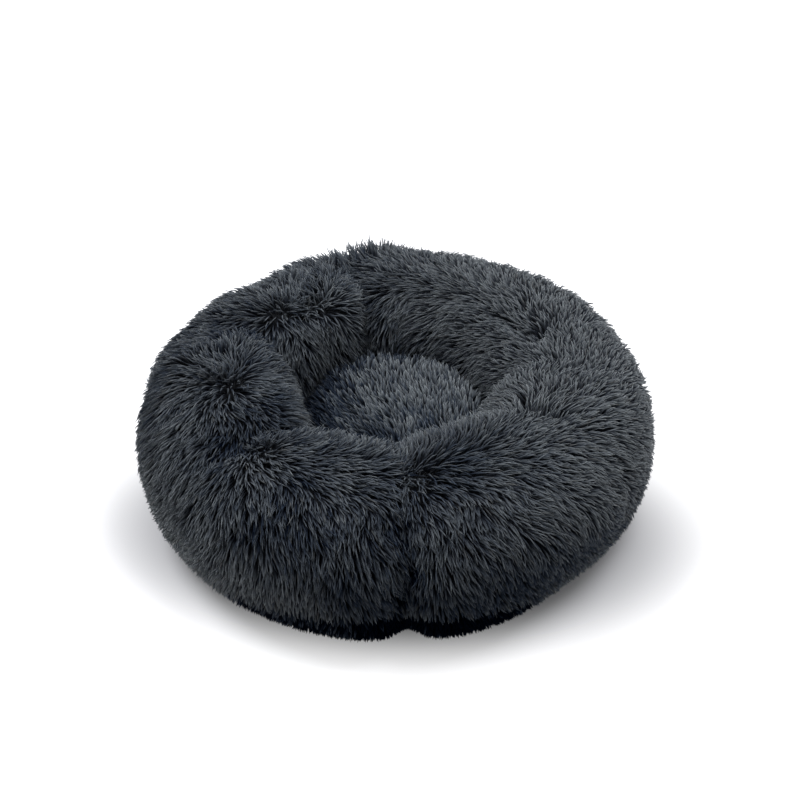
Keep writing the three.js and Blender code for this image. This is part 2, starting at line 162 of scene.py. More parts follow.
# Base cloth
# The bed stands on a disc of black woven cloth, whose rim is drawn up round the filling to the base seam.
# The form of the whole bed starts here: the bolster is a stuffed tube whose section is a rounded square,
# drawn in by seven uneven gathers. Its hole lies a little behind the middle.
bed_radius = 0.250
crest_height = 0.151
belly_height = 0.074
ring_half_width = 0.0825
ring_middle = bed_radius - ring_half_width
hole_radius = 0.086
hole_offset = (-0.006, 0.011)
ring_roundness = 2.2
gather_azimuths = (22, 105, 132, 179, 217, 272, 330)
gather_depth_shares = (0.04, 0.12, 0.09, 0.05, 0.08, 0.12, 0.08)
gather_half_angle = 15.0
gather_fade = (-0.58, -0.1)
seam_height = 0.008
base_thickness = 0.0012
base_weave_thickness = 0.0007
base_middle = (0.0134, 0.00085)
base_rim_steps = 14
base_sides = 144
base_ring_shares = (0.042, 0.060, 0.090, 0.150)
pucker_count = 72
pucker_share = 0.0016
pucker_start = 0.002
pucker_rise = 0.004
edge_angle = math.radians(40)


def smooth(value, low, high):
    share = np.clip((value - low) / (high - low), 0, 1)
    return share * share * (3 - 2 * share)


def turn_from(azimuth, centre):
    """Degrees round the bed from this centre, between -180 and 180."""
    return (azimuth - centre + 180) % 360 - 180


def gather_share(azimuth):
    share = np.zeros_like(azimuth)
    for centre, depth in zip(gather_azimuths, gather_depth_shares):
        away = np.clip(np.abs(turn_from(azimuth, centre)) / gather_half_angle, 0, 1)
        share = np.maximum(share, depth * (1 - away) ** 2)
    return share


def round_axis(radius, turn, height):
    """Points this far from the bed's axis, at this turn round it in radians."""
    return np.stack([radius * np.cos(turn), radius * np.sin(turn), height], axis=-1)


def ring_point(azimuth, section, inset, lowest):
    """Points of the ring's form. Section 0 is outside, 90 the crest, 180 the hole's wall, 270 the floor."""
    azimuth, section = np.broadcast_arrays(np.asarray(azimuth, float), np.asarray(section, float))
    turn = np.radians(azimuth)
    hole = hole_radius + hole_offset[0] * np.cos(turn) + hole_offset[1] * np.sin(turn)
    cos, sin = np.cos(np.radians(section)), np.sin(np.radians(section))
    kept = 1 - gather_share(azimuth) * smooth(sin, *gather_fade)
    wide = np.where(cos >= 0, ring_half_width, ring_middle - hole) - inset
    high = np.where(sin >= 0, crest_height - belly_height - inset, belly_height - lowest)
    power = 2 / ring_roundness
    radius = ring_middle + kept * wide * np.sign(cos) * np.abs(cos) ** power
    height = belly_height + kept * high * np.sign(sin) * np.abs(sin) ** power
    return round_axis(radius, turn, height)


def lower_section(height, lowest):
    """Section angle at which the ring's outer lower half is this high."""
    rise = (belly_height - height) / (belly_height - lowest)
    return -math.degrees(math.asin(rise ** (ring_roundness / 2)))


def only(obj):
    bpy.ops.object.select_all(action="DESELECT")
    obj.select_set(True)
    bpy.context.view_layer.objects.active = obj


def turned_out(obj):
    """Turns a mesh's faces to the outside."""
    only(obj)
    bpy.ops.object.mode_set(mode="EDIT")
    bpy.ops.mesh.select_all(action="SELECT")
    bpy.ops.mesh.normals_make_consistent(inside=False)
    bpy.ops.object.mode_set(mode="OBJECT")


def walled(obj, thickness):
    """Gives a cloth its thickness, half of it to each side."""
    only(obj)
    wall = obj.modifiers.new("wall", "SOLIDIFY")
    wall.thickness = thickness
    wall.offset = 0
    bpy.ops.object.modifier_apply(modifier=wall.name)
    bpy.ops.object.shade_smooth_by_angle(angle=edge_angle)


def sums(tree, operation, *values):
    """A Math node on these values, each of which is a socket or a number."""
    return add(tree, "Math", dict(enumerate(values)), operation=operation).outputs[0]


# Plain weave: each thread passes over one and under the next
plain_weave = bpy.data.node_groups.new("plain_weave", "ShaderNodeTree")
plain_weave.interface.new_socket("Threads", in_out="INPUT", socket_type="NodeSocketVector")
plain_weave.interface.new_socket("Over", in_out="OUTPUT", socket_type="NodeSocketFloat")
plain_weave.interface.new_socket("Height", in_out="OUTPUT", socket_type="NodeSocketFloat")
taken = plain_weave.nodes.new("NodeGroupInput")
given = plain_weave.nodes.new("NodeGroupOutput")
split = add(plain_weave, "SeparateXYZ", {0: taken.outputs["Threads"]})
warp = sums(plain_weave, "SINE", sums(plain_weave, "MULTIPLY", split.outputs["X"], math.pi))
weft = sums(plain_weave, "SINE", sums(plain_weave, "MULTIPLY", split.outputs["Y"], math.pi))
crossed = sums(plain_weave, "MULTIPLY", warp, weft)
feed(plain_weave, given, {
    "Over": sums(plain_weave, "ADD", sums(plain_weave, "MULTIPLY", crossed, 0.5), 0.5),
    "Height": sums(plain_weave, "ABSOLUTE", crossed)})


def new_material(name, roughness, specular):
    material = bpy.data.materials.new(name)
    material.use_nodes = True
    shader = material.node_tree.nodes["Principled BSDF"]
    feed(material.node_tree, shader, {"Roughness": roughness, "Specular IOR Level": specular})
    return material, material.node_tree, shader


def toned(tree, share, dark, light):
    """A colour from dark to light, by this share."""
    ramp = add(tree, "ValToRGB", {"Fac": share})
    ramp.color_ramp.elements[0].color = (*dark, 1)
    ramp.color_ramp.elements[1].color = (*light, 1)
    return ramp.outputs["Color"]


def woven_finish(name, dark, light, threads_per_metre, roughness, on_map=False, relief=0.00012):
    """Woven cloth, with its threads along X and Y, or along the piece's own map where it curves."""
    material, tree, shader = new_material(name, roughness, specular=0.3)
    place = add(tree, "TexCoord").outputs["Object"]
    source = add(tree, "UVMap", uv_map="threads").outputs["UV"] if on_map else place
    pitch = add(tree, "VectorMath", {0: source, "Scale": threads_per_metre}, operation="SCALE")
    weave = add(tree, "Group", {"Threads": pitch.outputs[0]}, node_tree=plain_weave).outputs
    wear = add(tree, "TexNoise", {"Vector": place, "Scale": 60, "Detail": 6})
    lifted = sums(tree, "ADD", sums(tree, "MULTIPLY", weave["Over"], 0.55),
                  sums(tree, "MULTIPLY", wear.outputs["Fac"], 0.45))
    bump = add(tree, "Bump", {"Height": weave["Height"], "Distance": relief})
    feed(tree, shader, {"Base Color": toned(tree, lifted, dark, light), "Normal": bump.outputs[0]})
    return material


base_seam_section = lower_section(seam_height, base_thickness)
rim_sections = np.linspace(270, 360 + base_seam_section, base_rim_steps)
rim_line = ring_point(90, rim_sections, *base_middle)[:, 1:]
flat_radius, flat_height = rim_line[0]
bpy.ops.object.select_all(action="DESELECT")
bpy.ops.mesh.primitive_circle_add(
    vertices=base_sides, radius=flat_radius, fill_type="NGON", location=(0, 0, flat_height))
base_cloth = bpy.context.object
base_cloth.name = "base_cloth"
bpy.ops.object.transform_apply(location=True)
bpy.ops.object.mode_set(mode="EDIT")
bpy.ops.mesh.select_all(action="SELECT")
for share in base_ring_shares:
    bpy.ops.mesh.inset(thickness=flat_radius * share)
bpy.ops.mesh.select_all(action="DESELECT")
bpy.ops.mesh.select_mode(type="EDGE")
bpy.ops.mesh.select_non_manifold(extend=False)
for (near, low), (far, high) in zip(rim_line[:-1], rim_line[1:]):
    bpy.ops.mesh.extrude_region_move(TRANSFORM_OT_translate={"value": (0, 0, high - low)})
    bpy.ops.transform.resize(value=(far / near, far / near, 1), center_override=(0, 0, 0))
bpy.ops.object.mode_set(mode="OBJECT")
turned_out(base_cloth)
# The rim is drawn in by its seam, which puckers it
for vertex in base_cloth.data.vertices:
    x, y, z = vertex.co
    up_rim = min(1, max(0, (z - pucker_start) / pucker_rise))
    pucker = 1 + pucker_share * math.sin(pucker_count * math.atan2(y, x)) * up_rim
    vertex.co = (x * pucker, y * pucker, z)
walled(base_cloth, base_weave_thickness)
base_cloth.data.materials.append(woven_finish(
    "base_cloth", dark=(0.006, 0.007, 0.008), light=(0.024, 0.026, 0.029), threads_per_metre=1400,
    roughness=0.75))
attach(base_cloth, "bed")
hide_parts("base_panel")


# Non-slip dots
# Soft rubber dots, printed on the underside of the base cloth in staggered rows. The bed stands on them.
dot_radius = 0.0021
dot_height = 0.0006
dot_bevel = dot_height * 0.35
dot_sides = 10
dot_pitch = 0.0125
dot_row_pitch = dot_pitch * 0.866
dotted_radius = 0.160


def mesh_piece(name, points, faces):
    mesh = bpy.data.meshes.new(name)
    mesh.from_pydata([tuple(p) for p in points], [], [tuple(int(i) for i in face) for face in faces])
    mesh.validate()
    obj = bpy.data.objects.new(name, mesh)
    bpy.context.scene.collection.objects.link(obj)
    return obj


def repeated(name, template, matrices):
    """One mesh of copies of a small shape, which is then deleted."""
    count = len(template.data.vertices)
    points = np.empty(count * 3)
    template.data.vertices.foreach_get("co", points)
    points = points.reshape(-1, 3)
    faces = [tuple(face.vertices) for face in template.data.polygons]
    places, all_faces = [], []
    for number, matrix in enumerate(matrices):
        turn = np.array(matrix)
        places.append(points @ turn[:3, :3].T + turn[:3, 3])
        all_faces += [tuple(i + number * count for i in face) for face in faces]
    bpy.data.objects.remove(template)
    obj = mesh_piece(name, np.concatenate(places), all_faces)
    only(obj)
    bpy.ops.object.shade_smooth_by_angle(angle=edge_angle)
    return obj


def bevelled(offset, segments):
    """Rounds all the edges of the active piece."""
    bpy.ops.object.mode_set(mode="EDIT")
    bpy.ops.mesh.select_all(action="SELECT")
    bpy.ops.mesh.bevel(offset=offset, segments=segments, affect="EDGES")
    bpy.ops.object.mode_set(mode="OBJECT")


def speckled(name, dark, light, speck, roughness, specular, stretch=None, relief=None, gloss=None,
             coat=0, sheen=0):
    """A finish whose tone wanders by a noise texture, and whose relief or gloss may wander with it."""
    material, tree, shader = new_material(name, roughness, specular)
    feed(tree, shader, {"Coat Weight": coat, "Sheen Weight": sheen})
    place = add(tree, "TexCoord").outputs["Object"]
    if stretch:
        place = add(tree, "Mapping", {"Vector": place, **stretch}).outputs["Vector"]
    noise = add(tree, "TexNoise", {"Vector": place, **speck}).outputs["Fac"]
    feed(tree, shader, {"Base Color": toned(tree, noise, dark, light)})
    if relief:
        bump = add(tree, "Bump", {"Height": noise, "Distance": relief})
        feed(tree, shader, {"Normal": bump.outputs[0]})
    if gloss:
        span = add(tree, "MapRange", {"Value": noise, "To Min": gloss[0], "To Max": gloss[1]})
        feed(tree, shader, {"Roughness": span.outputs["Result"]})
    return material


bpy.ops.object.select_all(action="DESELECT")
bpy.ops.mesh.primitive_cylinder_add(vertices=dot_sides, radius=dot_radius, depth=dot_height)
dot = bpy.context.object
bevelled(dot_bevel, 1)
dot_places = []
rows_out = int(dotted_radius / dot_row_pitch)
for row in range(-rows_out, rows_out + 1):
    for step in range(-rows_out - 1, rows_out + 2):
        x, y = (step + 0.5 * (row % 2)) * dot_pitch, row * dot_row_pitch
        if math.hypot(x, y) < dotted_radius:
            dot_places.append(Matrix.Translation((x, y, dot_height / 2)))
base_dots = repeated("base_dots", dot, dot_places)
dot_rubber = speckled(
    "dot_rubber", dark=(0.012, 0.013, 0.014), light=(0.040, 0.042, 0.045), speck={"Scale": 400},
    roughness=0.55, specular=0.4)
base_dots.data.materials.append(dot_rubber)
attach(base_dots, "bed")


# Inner seam tape
# A woven tape covers the seam where the bolster, the cushion and the base cloth are sewn together.
seam_tape_width = 0.012
seam_tape_thickness = 0.0008
seam_tape_floor = 0.0015
piece_gap = 0.0003
inner_sides = 144
strip_softness = 0.35


def grid_faces(rows, columns, closed, wrapped=False):
    """Faces of a grid of points, whose last row or last column may join the first again."""
    faces = []
    for i in range(rows if closed else rows - 1):
        here, after = i * columns, (i + 1) % rows * columns
        for j in range(columns if wrapped else columns - 1):
            beside = (j + 1) % columns
            faces.append((here + j, after + j, after + beside, here + beside))
    return faces


def tube_faces(rows, columns, closed):
    """Faces of a tube through rows of points, which joins itself again or is closed at its ends."""
    faces = grid_faces(rows, columns, closed, wrapped=True)
    if not closed:
        last = (rows - 1) * columns
        faces += [tuple(range(columns)), tuple(last + k for k in reversed(range(columns)))]
    return faces


def strip_round(name, section_at, azimuths, closed):
    """A strip whose closed section, points of (radius, height), goes round the bed.

    Its map follows the threads, in metres round the bed and round the section.
    """
    turns = np.radians(azimuths)
    sections = np.array([section_at(azimuth) for azimuth in azimuths])
    points = round_axis(sections[..., 0], turns[:, None], sections[..., 1])
    rows, columns = sections.shape[:2]
    edges = np.linalg.norm(np.roll(sections[0], -1, axis=0) - sections[0], axis=1)
    across = np.concatenate([[0], np.cumsum(edges)])
    step = abs(turns[1] - turns[0]) * sections[0, 0, 0]
    maps = []
    for i in range(rows if closed else rows - 1):
        u = i * step
        for low, high in zip(across[:-1], across[1:]):
            maps += [(u, low), (u + step, low), (u + step, high), (u, high)]
    if not closed:
        maps += [(0, place) for place in across[:-1]] * 2
    obj = mesh_piece(name, points.reshape(-1, 3), tube_faces(rows, columns, closed))
    layer = obj.data.uv_layers.new(name="threads")
    layer.data.foreach_set("uv", np.array(maps).reshape(-1).astype(np.float32))
    turned_out(obj)
    bpy.ops.object.shade_smooth_by_angle(angle=edge_angle)
    return obj


def rounded_strip(low, high, bottom, top):
    """Corner points of a thin strip with softened edges, going round it once."""
    soft = (top - bottom) * strip_softness
    middle = [low + (high - low) * share for share in (0.25, 0.5, 0.75)]
    across = [low + soft, *middle, high - soft]
    return ([(place, bottom) for place in across] + [(high, bottom + soft), (high, top - soft)]
            + [(place, top) for place in reversed(across)] + [(low, top - soft), (low, bottom + soft)])


inner_end_height = seam_tape_floor + seam_tape_thickness + piece_gap
inner_end = 180 - lower_section(inner_end_height, 0)


def seam_tape_centre(azimuth):
    return float(np.linalg.norm(ring_point(azimuth, inner_end, 0, 0)[:2]))


def seam_tape_section(azimuth):
    middle = seam_tape_centre(azimuth)
    return rounded_strip(middle - seam_tape_width / 2, middle + seam_tape_width / 2,
                         seam_tape_floor, seam_tape_floor + seam_tape_thickness)


around_inside = np.arange(inner_sides) * 360 / inner_sides
seam_tape = strip_round("inner_seam_tape_cloth", seam_tape_section, around_inside, closed=True)
binding_finish = woven_finish(
    "binding", dark=(0.005, 0.006, 0.007), light=(0.020, 0.022, 0.025), threads_per_metre=1600, roughness=0.8,
    on_map=True)
seam_tape.data.materials.append(binding_finish)
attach(seam_tape, "bed")
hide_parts("inner_seam_tape")


# Cushion backing
# A disc of white spun-bonded cloth closes the cushion underneath. It lies on the base cloth.
backing_thickness = 0.0006
backing_wrinkle = 0.00012
backing_rings = 20


def spun_finish(name, dark, light):
    """Spun-bonded cloth: fine random fibres, pressed together in a grid of small dimples."""
    material, tree, shader = new_material(name, roughness=0.9, specular=0.25)
    place = add(tree, "TexCoord").outputs["Object"]
    fibres = add(tree, "TexNoise", {"Vector": place, "Scale": 700, "Detail": 8, "Distortion": 2})
    pressed = add(tree, "TexVoronoi", {"Vector": place, "Scale": 520, "Randomness": 0.15})
    bump = add(tree, "Bump", {"Height": pressed.outputs["Distance"], "Distance": 0.0001})
    feed(tree, shader, {
        "Base Color": toned(tree, fibres.outputs["Fac"], dark, light), "Normal": bump.outputs[0]})
    return material


def waves(points, size, count, seed):
    """A smooth wandering value with features of about this size, between about -1 and 1."""
    rng = np.random.default_rng(seed)
    flat = points.reshape(-1, 3)
    value = np.zeros(len(flat))
    for _ in range(count):
        direction = rng.normal(size=3)
        direction /= np.linalg.norm(direction)
        pitch = 2 * math.pi / (size * rng.uniform(0.7, 1.6))
        value += np.sin(flat @ direction * pitch + rng.uniform(0, 2 * math.pi))
    return (value / math.sqrt(count / 2)).reshape(points.shape[:-1])


def disc_form(rims, ring_count, height):
    """Points and faces of a flat disc out to these rim radii, in rings round its middle."""
    turns = np.radians(np.arange(len(rims)) * 360 / len(rims))
    flat = rims[:, None] * np.linspace(1 / ring_count, 1, ring_count)[None, :]
    points = round_axis(flat, turns[:, None], np.full_like(flat, height))
    points = np.concatenate([points.reshape(-1, 3), [[0, 0, height]]])
    faces = grid_faces(len(rims), ring_count, closed=True)
    faces += [(i * ring_count, (i + 1) % len(rims) * ring_count, len(points) - 1) for i in range(len(rims))]
    return points, faces


backing_rims = np.array([seam_tape_centre(a) for a in around_inside]) - seam_tape_width / 2 - piece_gap
points, faces = disc_form(backing_rims, backing_rings, seam_tape_floor + backing_thickness / 2)
points[:, 2] += backing_wrinkle * np.clip(waves(points, size=0.03, count=10, seed=41), -1, 1)
cushion_backing = mesh_piece("cushion_backing_cloth", points, faces)
turned_out(cushion_backing)
walled(cushion_backing, backing_thickness / 2)
spun_cloth = spun_finish("spun_cloth", dark=(0.66, 0.65, 0.62), light=(0.84, 0.83, 0.80))
cushion_backing.data.materials.append(spun_cloth)
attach(cushion_backing, "bed")
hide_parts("cushion_backing")


# Ring fill
# Loose polyester fibre fills the bolster. It swells the tube out between the gathers, and it is lumpy.
ring_columns = 240
ring_rows = 66
bottom_rows = 20
inner_end_section = 247.0
cover_low_front = 0.0125
cover_low_zip = 0.0255
zip_first_gather = 22
zip_last_gather = 132
zip_top_height = 0.026
swell_limit = 0.004
cloth_inset = 0.0128
cloth_thickness = 0.0011
fill_inset = 0.0156
fill_floor = 0.0028
fill_lump = 0.0009
swell_frames = 20
gather_hold = 0.8
zip_ease = (1.5, 2.1)
# Folds between the lobes: azimuth, depth, half width in degrees, and the sections where they start and end
cover_folds = (
    (104, 0.008, 9, 60, 190),
    (8, 0.005, 9, 118, 190),
    (218, 0.007, 9, 75, 170),
    (157, 0.009, 10, 45, 172),
    (272, 0.009, 5, -60, 80),
)
deepest_fold = 0.011
fold_fade = 22.0
fold_wander = 1.3
fold_wander_turns = 4.5
fold_sharpness = 1.6
# Fuller places of the lobes, some of which overhang the cushion, and one slacker place: azimuth, section,
# reach in each, and height
cover_bulges = (
    (300, 126, 24, 24, 0.007),
    (192, 138, 20, 24, 0.006),
    (240, 132, 16, 22, 0.003),
    (27, 48, 22, 34, 0.006),
    (312, -25, 13, 34, -0.0095),
    (160, 55, 14, 30, 0.004),
    (101, 58, 8, 16, 0.004),
)
# A crease that runs slantwise along the crest, in short stretches like the above
cover_creases = ((39, 113, 6, 7, 0.006), (30, 107, 6, 7, 0.009), (21, 101, 6, 7, 0.009))


def bell(*values):
    """1 where these are all 0, and falling off round that as a bell does."""
    return np.exp(-0.5 * sum(value ** 2 for value in values))


def fold_depth(azimuth, section):
    """How far the folds draw the cover in."""
    depth = np.zeros(np.broadcast(azimuth, section).shape)
    for centre, deep, half, low, high in cover_folds:
        wander = fold_wander * np.sin(np.radians(section * fold_wander_turns + centre))
        across = bell(np.abs(turn_from(azimuth - centre, wander)) / half * fold_sharpness)
        starts = smooth(section, low - fold_fade, low + fold_fade)
        ends = smooth(section, high - fold_fade, high + fold_fade)
        depth = np.maximum(depth, deep * across * (starts * (1 - ends)))
    return depth


def bulge_height(azimuth, section, places):
    """How far these fuller places stand out."""
    height = np.zeros(np.broadcast(azimuth, section).shape)
    for centre, level, reach, spread, high in places:
        height += high * bell(turn_from(azimuth, centre) / reach, (section - level) / spread)
    return height


def unit(vectors):
    return vectors / np.linalg.norm(vectors, axis=-1, keepdims=True)


def surface_frames(points):
    """Unit normals of a grid of points in columns round the bed, and the tangents up the columns."""
    along = np.roll(points, -1, axis=0) - np.roll(points, 1, axis=0)
    across = np.gradient(points, axis=1)
    return unit(np.cross(along, across)), across


def swollen(name, points, faces, pins, pressure, limit):
    """Cloth simulation of a stuffed cover: pressure from the filling, pinned along its seams and gathers."""
    shape = points.reshape(-1, 3)
    obj = mesh_piece(name, shape, faces)
    group = obj.vertex_groups.new(name="pins")
    for index, weight in enumerate(pins.reshape(-1)):
        group.add([index], float(weight), "REPLACE")
    cloth = obj.modifiers.new("swell", "CLOTH")
    settings = cloth.settings
    settings.quality = 6
    settings.mass = 0.3
    settings.tension_stiffness = 12
    settings.compression_stiffness = 12
    settings.shear_stiffness = 6
    settings.bending_stiffness = 0.6
    settings.use_pressure = True
    settings.uniform_pressure_force = pressure
    settings.vertex_group_mass = "pins"
    settings.pin_stiffness = 1
    settings.effector_weights.gravity = 0
    scene = bpy.context.scene
    for step in range(1, swell_frames + 1):
        scene.frame_set(step)
    posed = obj.evaluated_get(bpy.context.evaluated_depsgraph_get())
    moved = np.empty(len(shape) * 3)
    posed.data.vertices.foreach_get("co", moved)
    scene.frame_set(1)
    bpy.data.objects.remove(obj)
    step = moved.reshape(-1, 3) - shape
    length = np.linalg.norm(step, axis=1, keepdims=True)
    return (shape + step * np.minimum(1, limit / np.maximum(length, 1e-9))).reshape(points.shape)


seam_section = lower_section(cover_low_front, base_thickness)
raised_section = lower_section(cover_low_zip, base_thickness)
zip_top_section = lower_section(zip_top_height, base_thickness)
ring_azimuths = np.arange(ring_columns) * 360 / ring_columns
rising = smooth(ring_azimuths, zip_first_gather - zip_ease[0], zip_first_gather + zip_ease[1])
falling = smooth(ring_azimuths, zip_last_gather - zip_ease[1], zip_last_gather + zip_ease[0])
ring_starts = (seam_section + (raised_section - seam_section) * (rising * (1 - falling)))[:, None]
row_shares = np.linspace(0, 1, ring_rows)
ring_sections = ring_starts + (inner_end_section - ring_starts) * row_shares[None, :]
ring_cloth_points = ring_point(
    ring_azimuths[:, None], ring_sections, cloth_inset + cloth_thickness / 2, base_thickness)
plain_points = ring_cloth_points.copy()
at = ring_azimuths[:, None], ring_sections
ring_cloth_points += surface_frames(ring_cloth_points)[0] * (
    bulge_height(*at, cover_bulges) - bulge_height(*at, cover_creases) - fold_depth(*at))[..., None]
ring_faces = grid_faces(ring_columns, ring_rows, closed=True)
ring_pins = np.zeros((ring_columns, ring_rows))
ring_pins += np.clip(gather_share(ring_azimuths) / max(gather_depth_shares), 0, 1)[:, None] * gather_hold
ring_pins[:, :2] = 1
ring_pins[:, -2:] = 1
ring_cloth_points = swollen("ring_swell", ring_cloth_points, ring_faces, ring_pins, 3.0, swell_limit)
ring_shift = ring_cloth_points - plain_points


def ring_layer(inset, lowest):
    """A whole layer inside the cover, folded and swollen as the cover is, and straight behind the zip."""
    shares = np.linspace(0, 1, bottom_rows + 2)[1:-1]
    below = inner_end_section + (ring_starts + 360 - inner_end_section) * shares[None, :]
    sections = np.concatenate([ring_sections, below], axis=1)
    points = ring_point(ring_azimuths[:, None], sections, inset, lowest)
    low, high = base_seam_section + 360, zip_top_section + 360
    start = ring_point(ring_azimuths[:, None], low, inset, lowest)
    end = ring_point(ring_azimuths[:, None], high, inset, lowest)
    turned = np.where(sections < 90, sections + 360, sections)
    rise = (points[..., 2:] - start[..., 2:]) / (end[..., 2:] - start[..., 2:])
    straight = start + (end - start) * np.clip(rise, 0, 1)
    inside_band = ((turned > low) & (turned < high))[..., None]
    points = np.where(inside_band, straight, points)
    points[:, :ring_rows] += ring_shift
    return points


def smooth_piece(name, points, faces):
    """A mesh piece with its faces turned out, shaded as one round form."""
    obj = mesh_piece(name, points.reshape(-1, 3), faces)
    turned_out(obj)
    bpy.ops.object.shade_smooth()
    return obj


fill_points = ring_layer(fill_inset, fill_floor)
lumps = 0.55 + 0.45 * np.clip(waves(fill_points, size=0.022, count=16, seed=51), -1, 1)
fill_points -= surface_frames(fill_points)[0] * (fill_lump * lumps)[..., None]
layer_faces = tube_faces(*fill_points.shape[:2], closed=True)
ring_fibre = smooth_piece("ring_fibre", fill_points, layer_faces)
white_fibre = speckled(
    "white_fibre", dark=(0.62, 0.62, 0.60), light=(0.92, 0.92, 0.90),
    speck={"Scale": 160, "Detail": 10, "Distortion": 3}, roughness=1.0, specular=0.1, relief=0.0008)
ring_fibre.data.materials.append(white_fibre)
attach(ring_fibre, "bed")
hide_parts("ring_fill")


# Ring liner
# A bag of white spun-bonded cloth keeps the fibre in when the cover is off for washing. It is a little
# wrinkled, and its closing seam runs round underneath.
liner_inset = 0.0148
liner_floor = 0.0020
liner_thickness = 0.0005
liner_wrinkle = 0.00025
liner_points = ring_layer(liner_inset, liner_floor)
creased = liner_wrinkle * np.clip(waves(liner_points, size=0.014, count=14, seed=61), -1, 1)
liner_points += surface_frames(liner_points)[0] * creased[..., None]
ring_bag = smooth_piece("ring_liner_bag", liner_points, layer_faces)
walled(ring_bag, liner_thickness)
ring_bag.data.materials.append(spun_cloth)
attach(ring_bag, "bed")
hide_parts("ring_liner")


# Ring cover, cloth
# The bolster's cover is one tube of plush, gathered by threads at seven places and sewn to the base.
# This is its backing cloth.
ring_cloth = mesh_piece("ring_cover_cloth", ring_cloth_points.reshape(-1, 3), ring_faces)
walled(ring_cloth, cloth_thickness)
bpy.ops.object.shade_smooth()
plush_backing = speckled(
    "plush_backing", dark=(0.006, 0.007, 0.009), light=(0.022, 0.025, 0.030), speck={"Scale": 900},
    roughness=0.95, specular=0.2)
ring_cloth.data.materials.append(plush_backing)
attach(ring_cloth, "bed")
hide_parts("ring_cover")


# Ring cover, pile
# The pile is long soft fibre that stands in pointed locks. It lies outwards and down on the outer wall,
# down into the hole on the inner wall, and spreads from a few whorls and partings along the crest.
lock_spacing = 0.0026
lock_length = 0.026
lock_radius = 0.00096
root_lean = 38.0
tip_lean = 82.0
lock_droop = 0.35
clump_spacing = 0.0056
clump_pull = 0.55
lock_sides = 3
lock_shares = (0.0, 0.3, 0.58, 0.82, 1.0)
lock_widths = (0.55, 1.0, 1.0, 0.62)
lock_tone_width = 0.0011
ring_pile_pieces = 12
inner_pile_end = 192.0
whorl_lift = 0.36
pile_floor = 0.0016
pile_shadow = (0.001, 0.003, 0.009)
pile_dark = (0.020, 0.030, 0.050)
palest_tone = 0.78

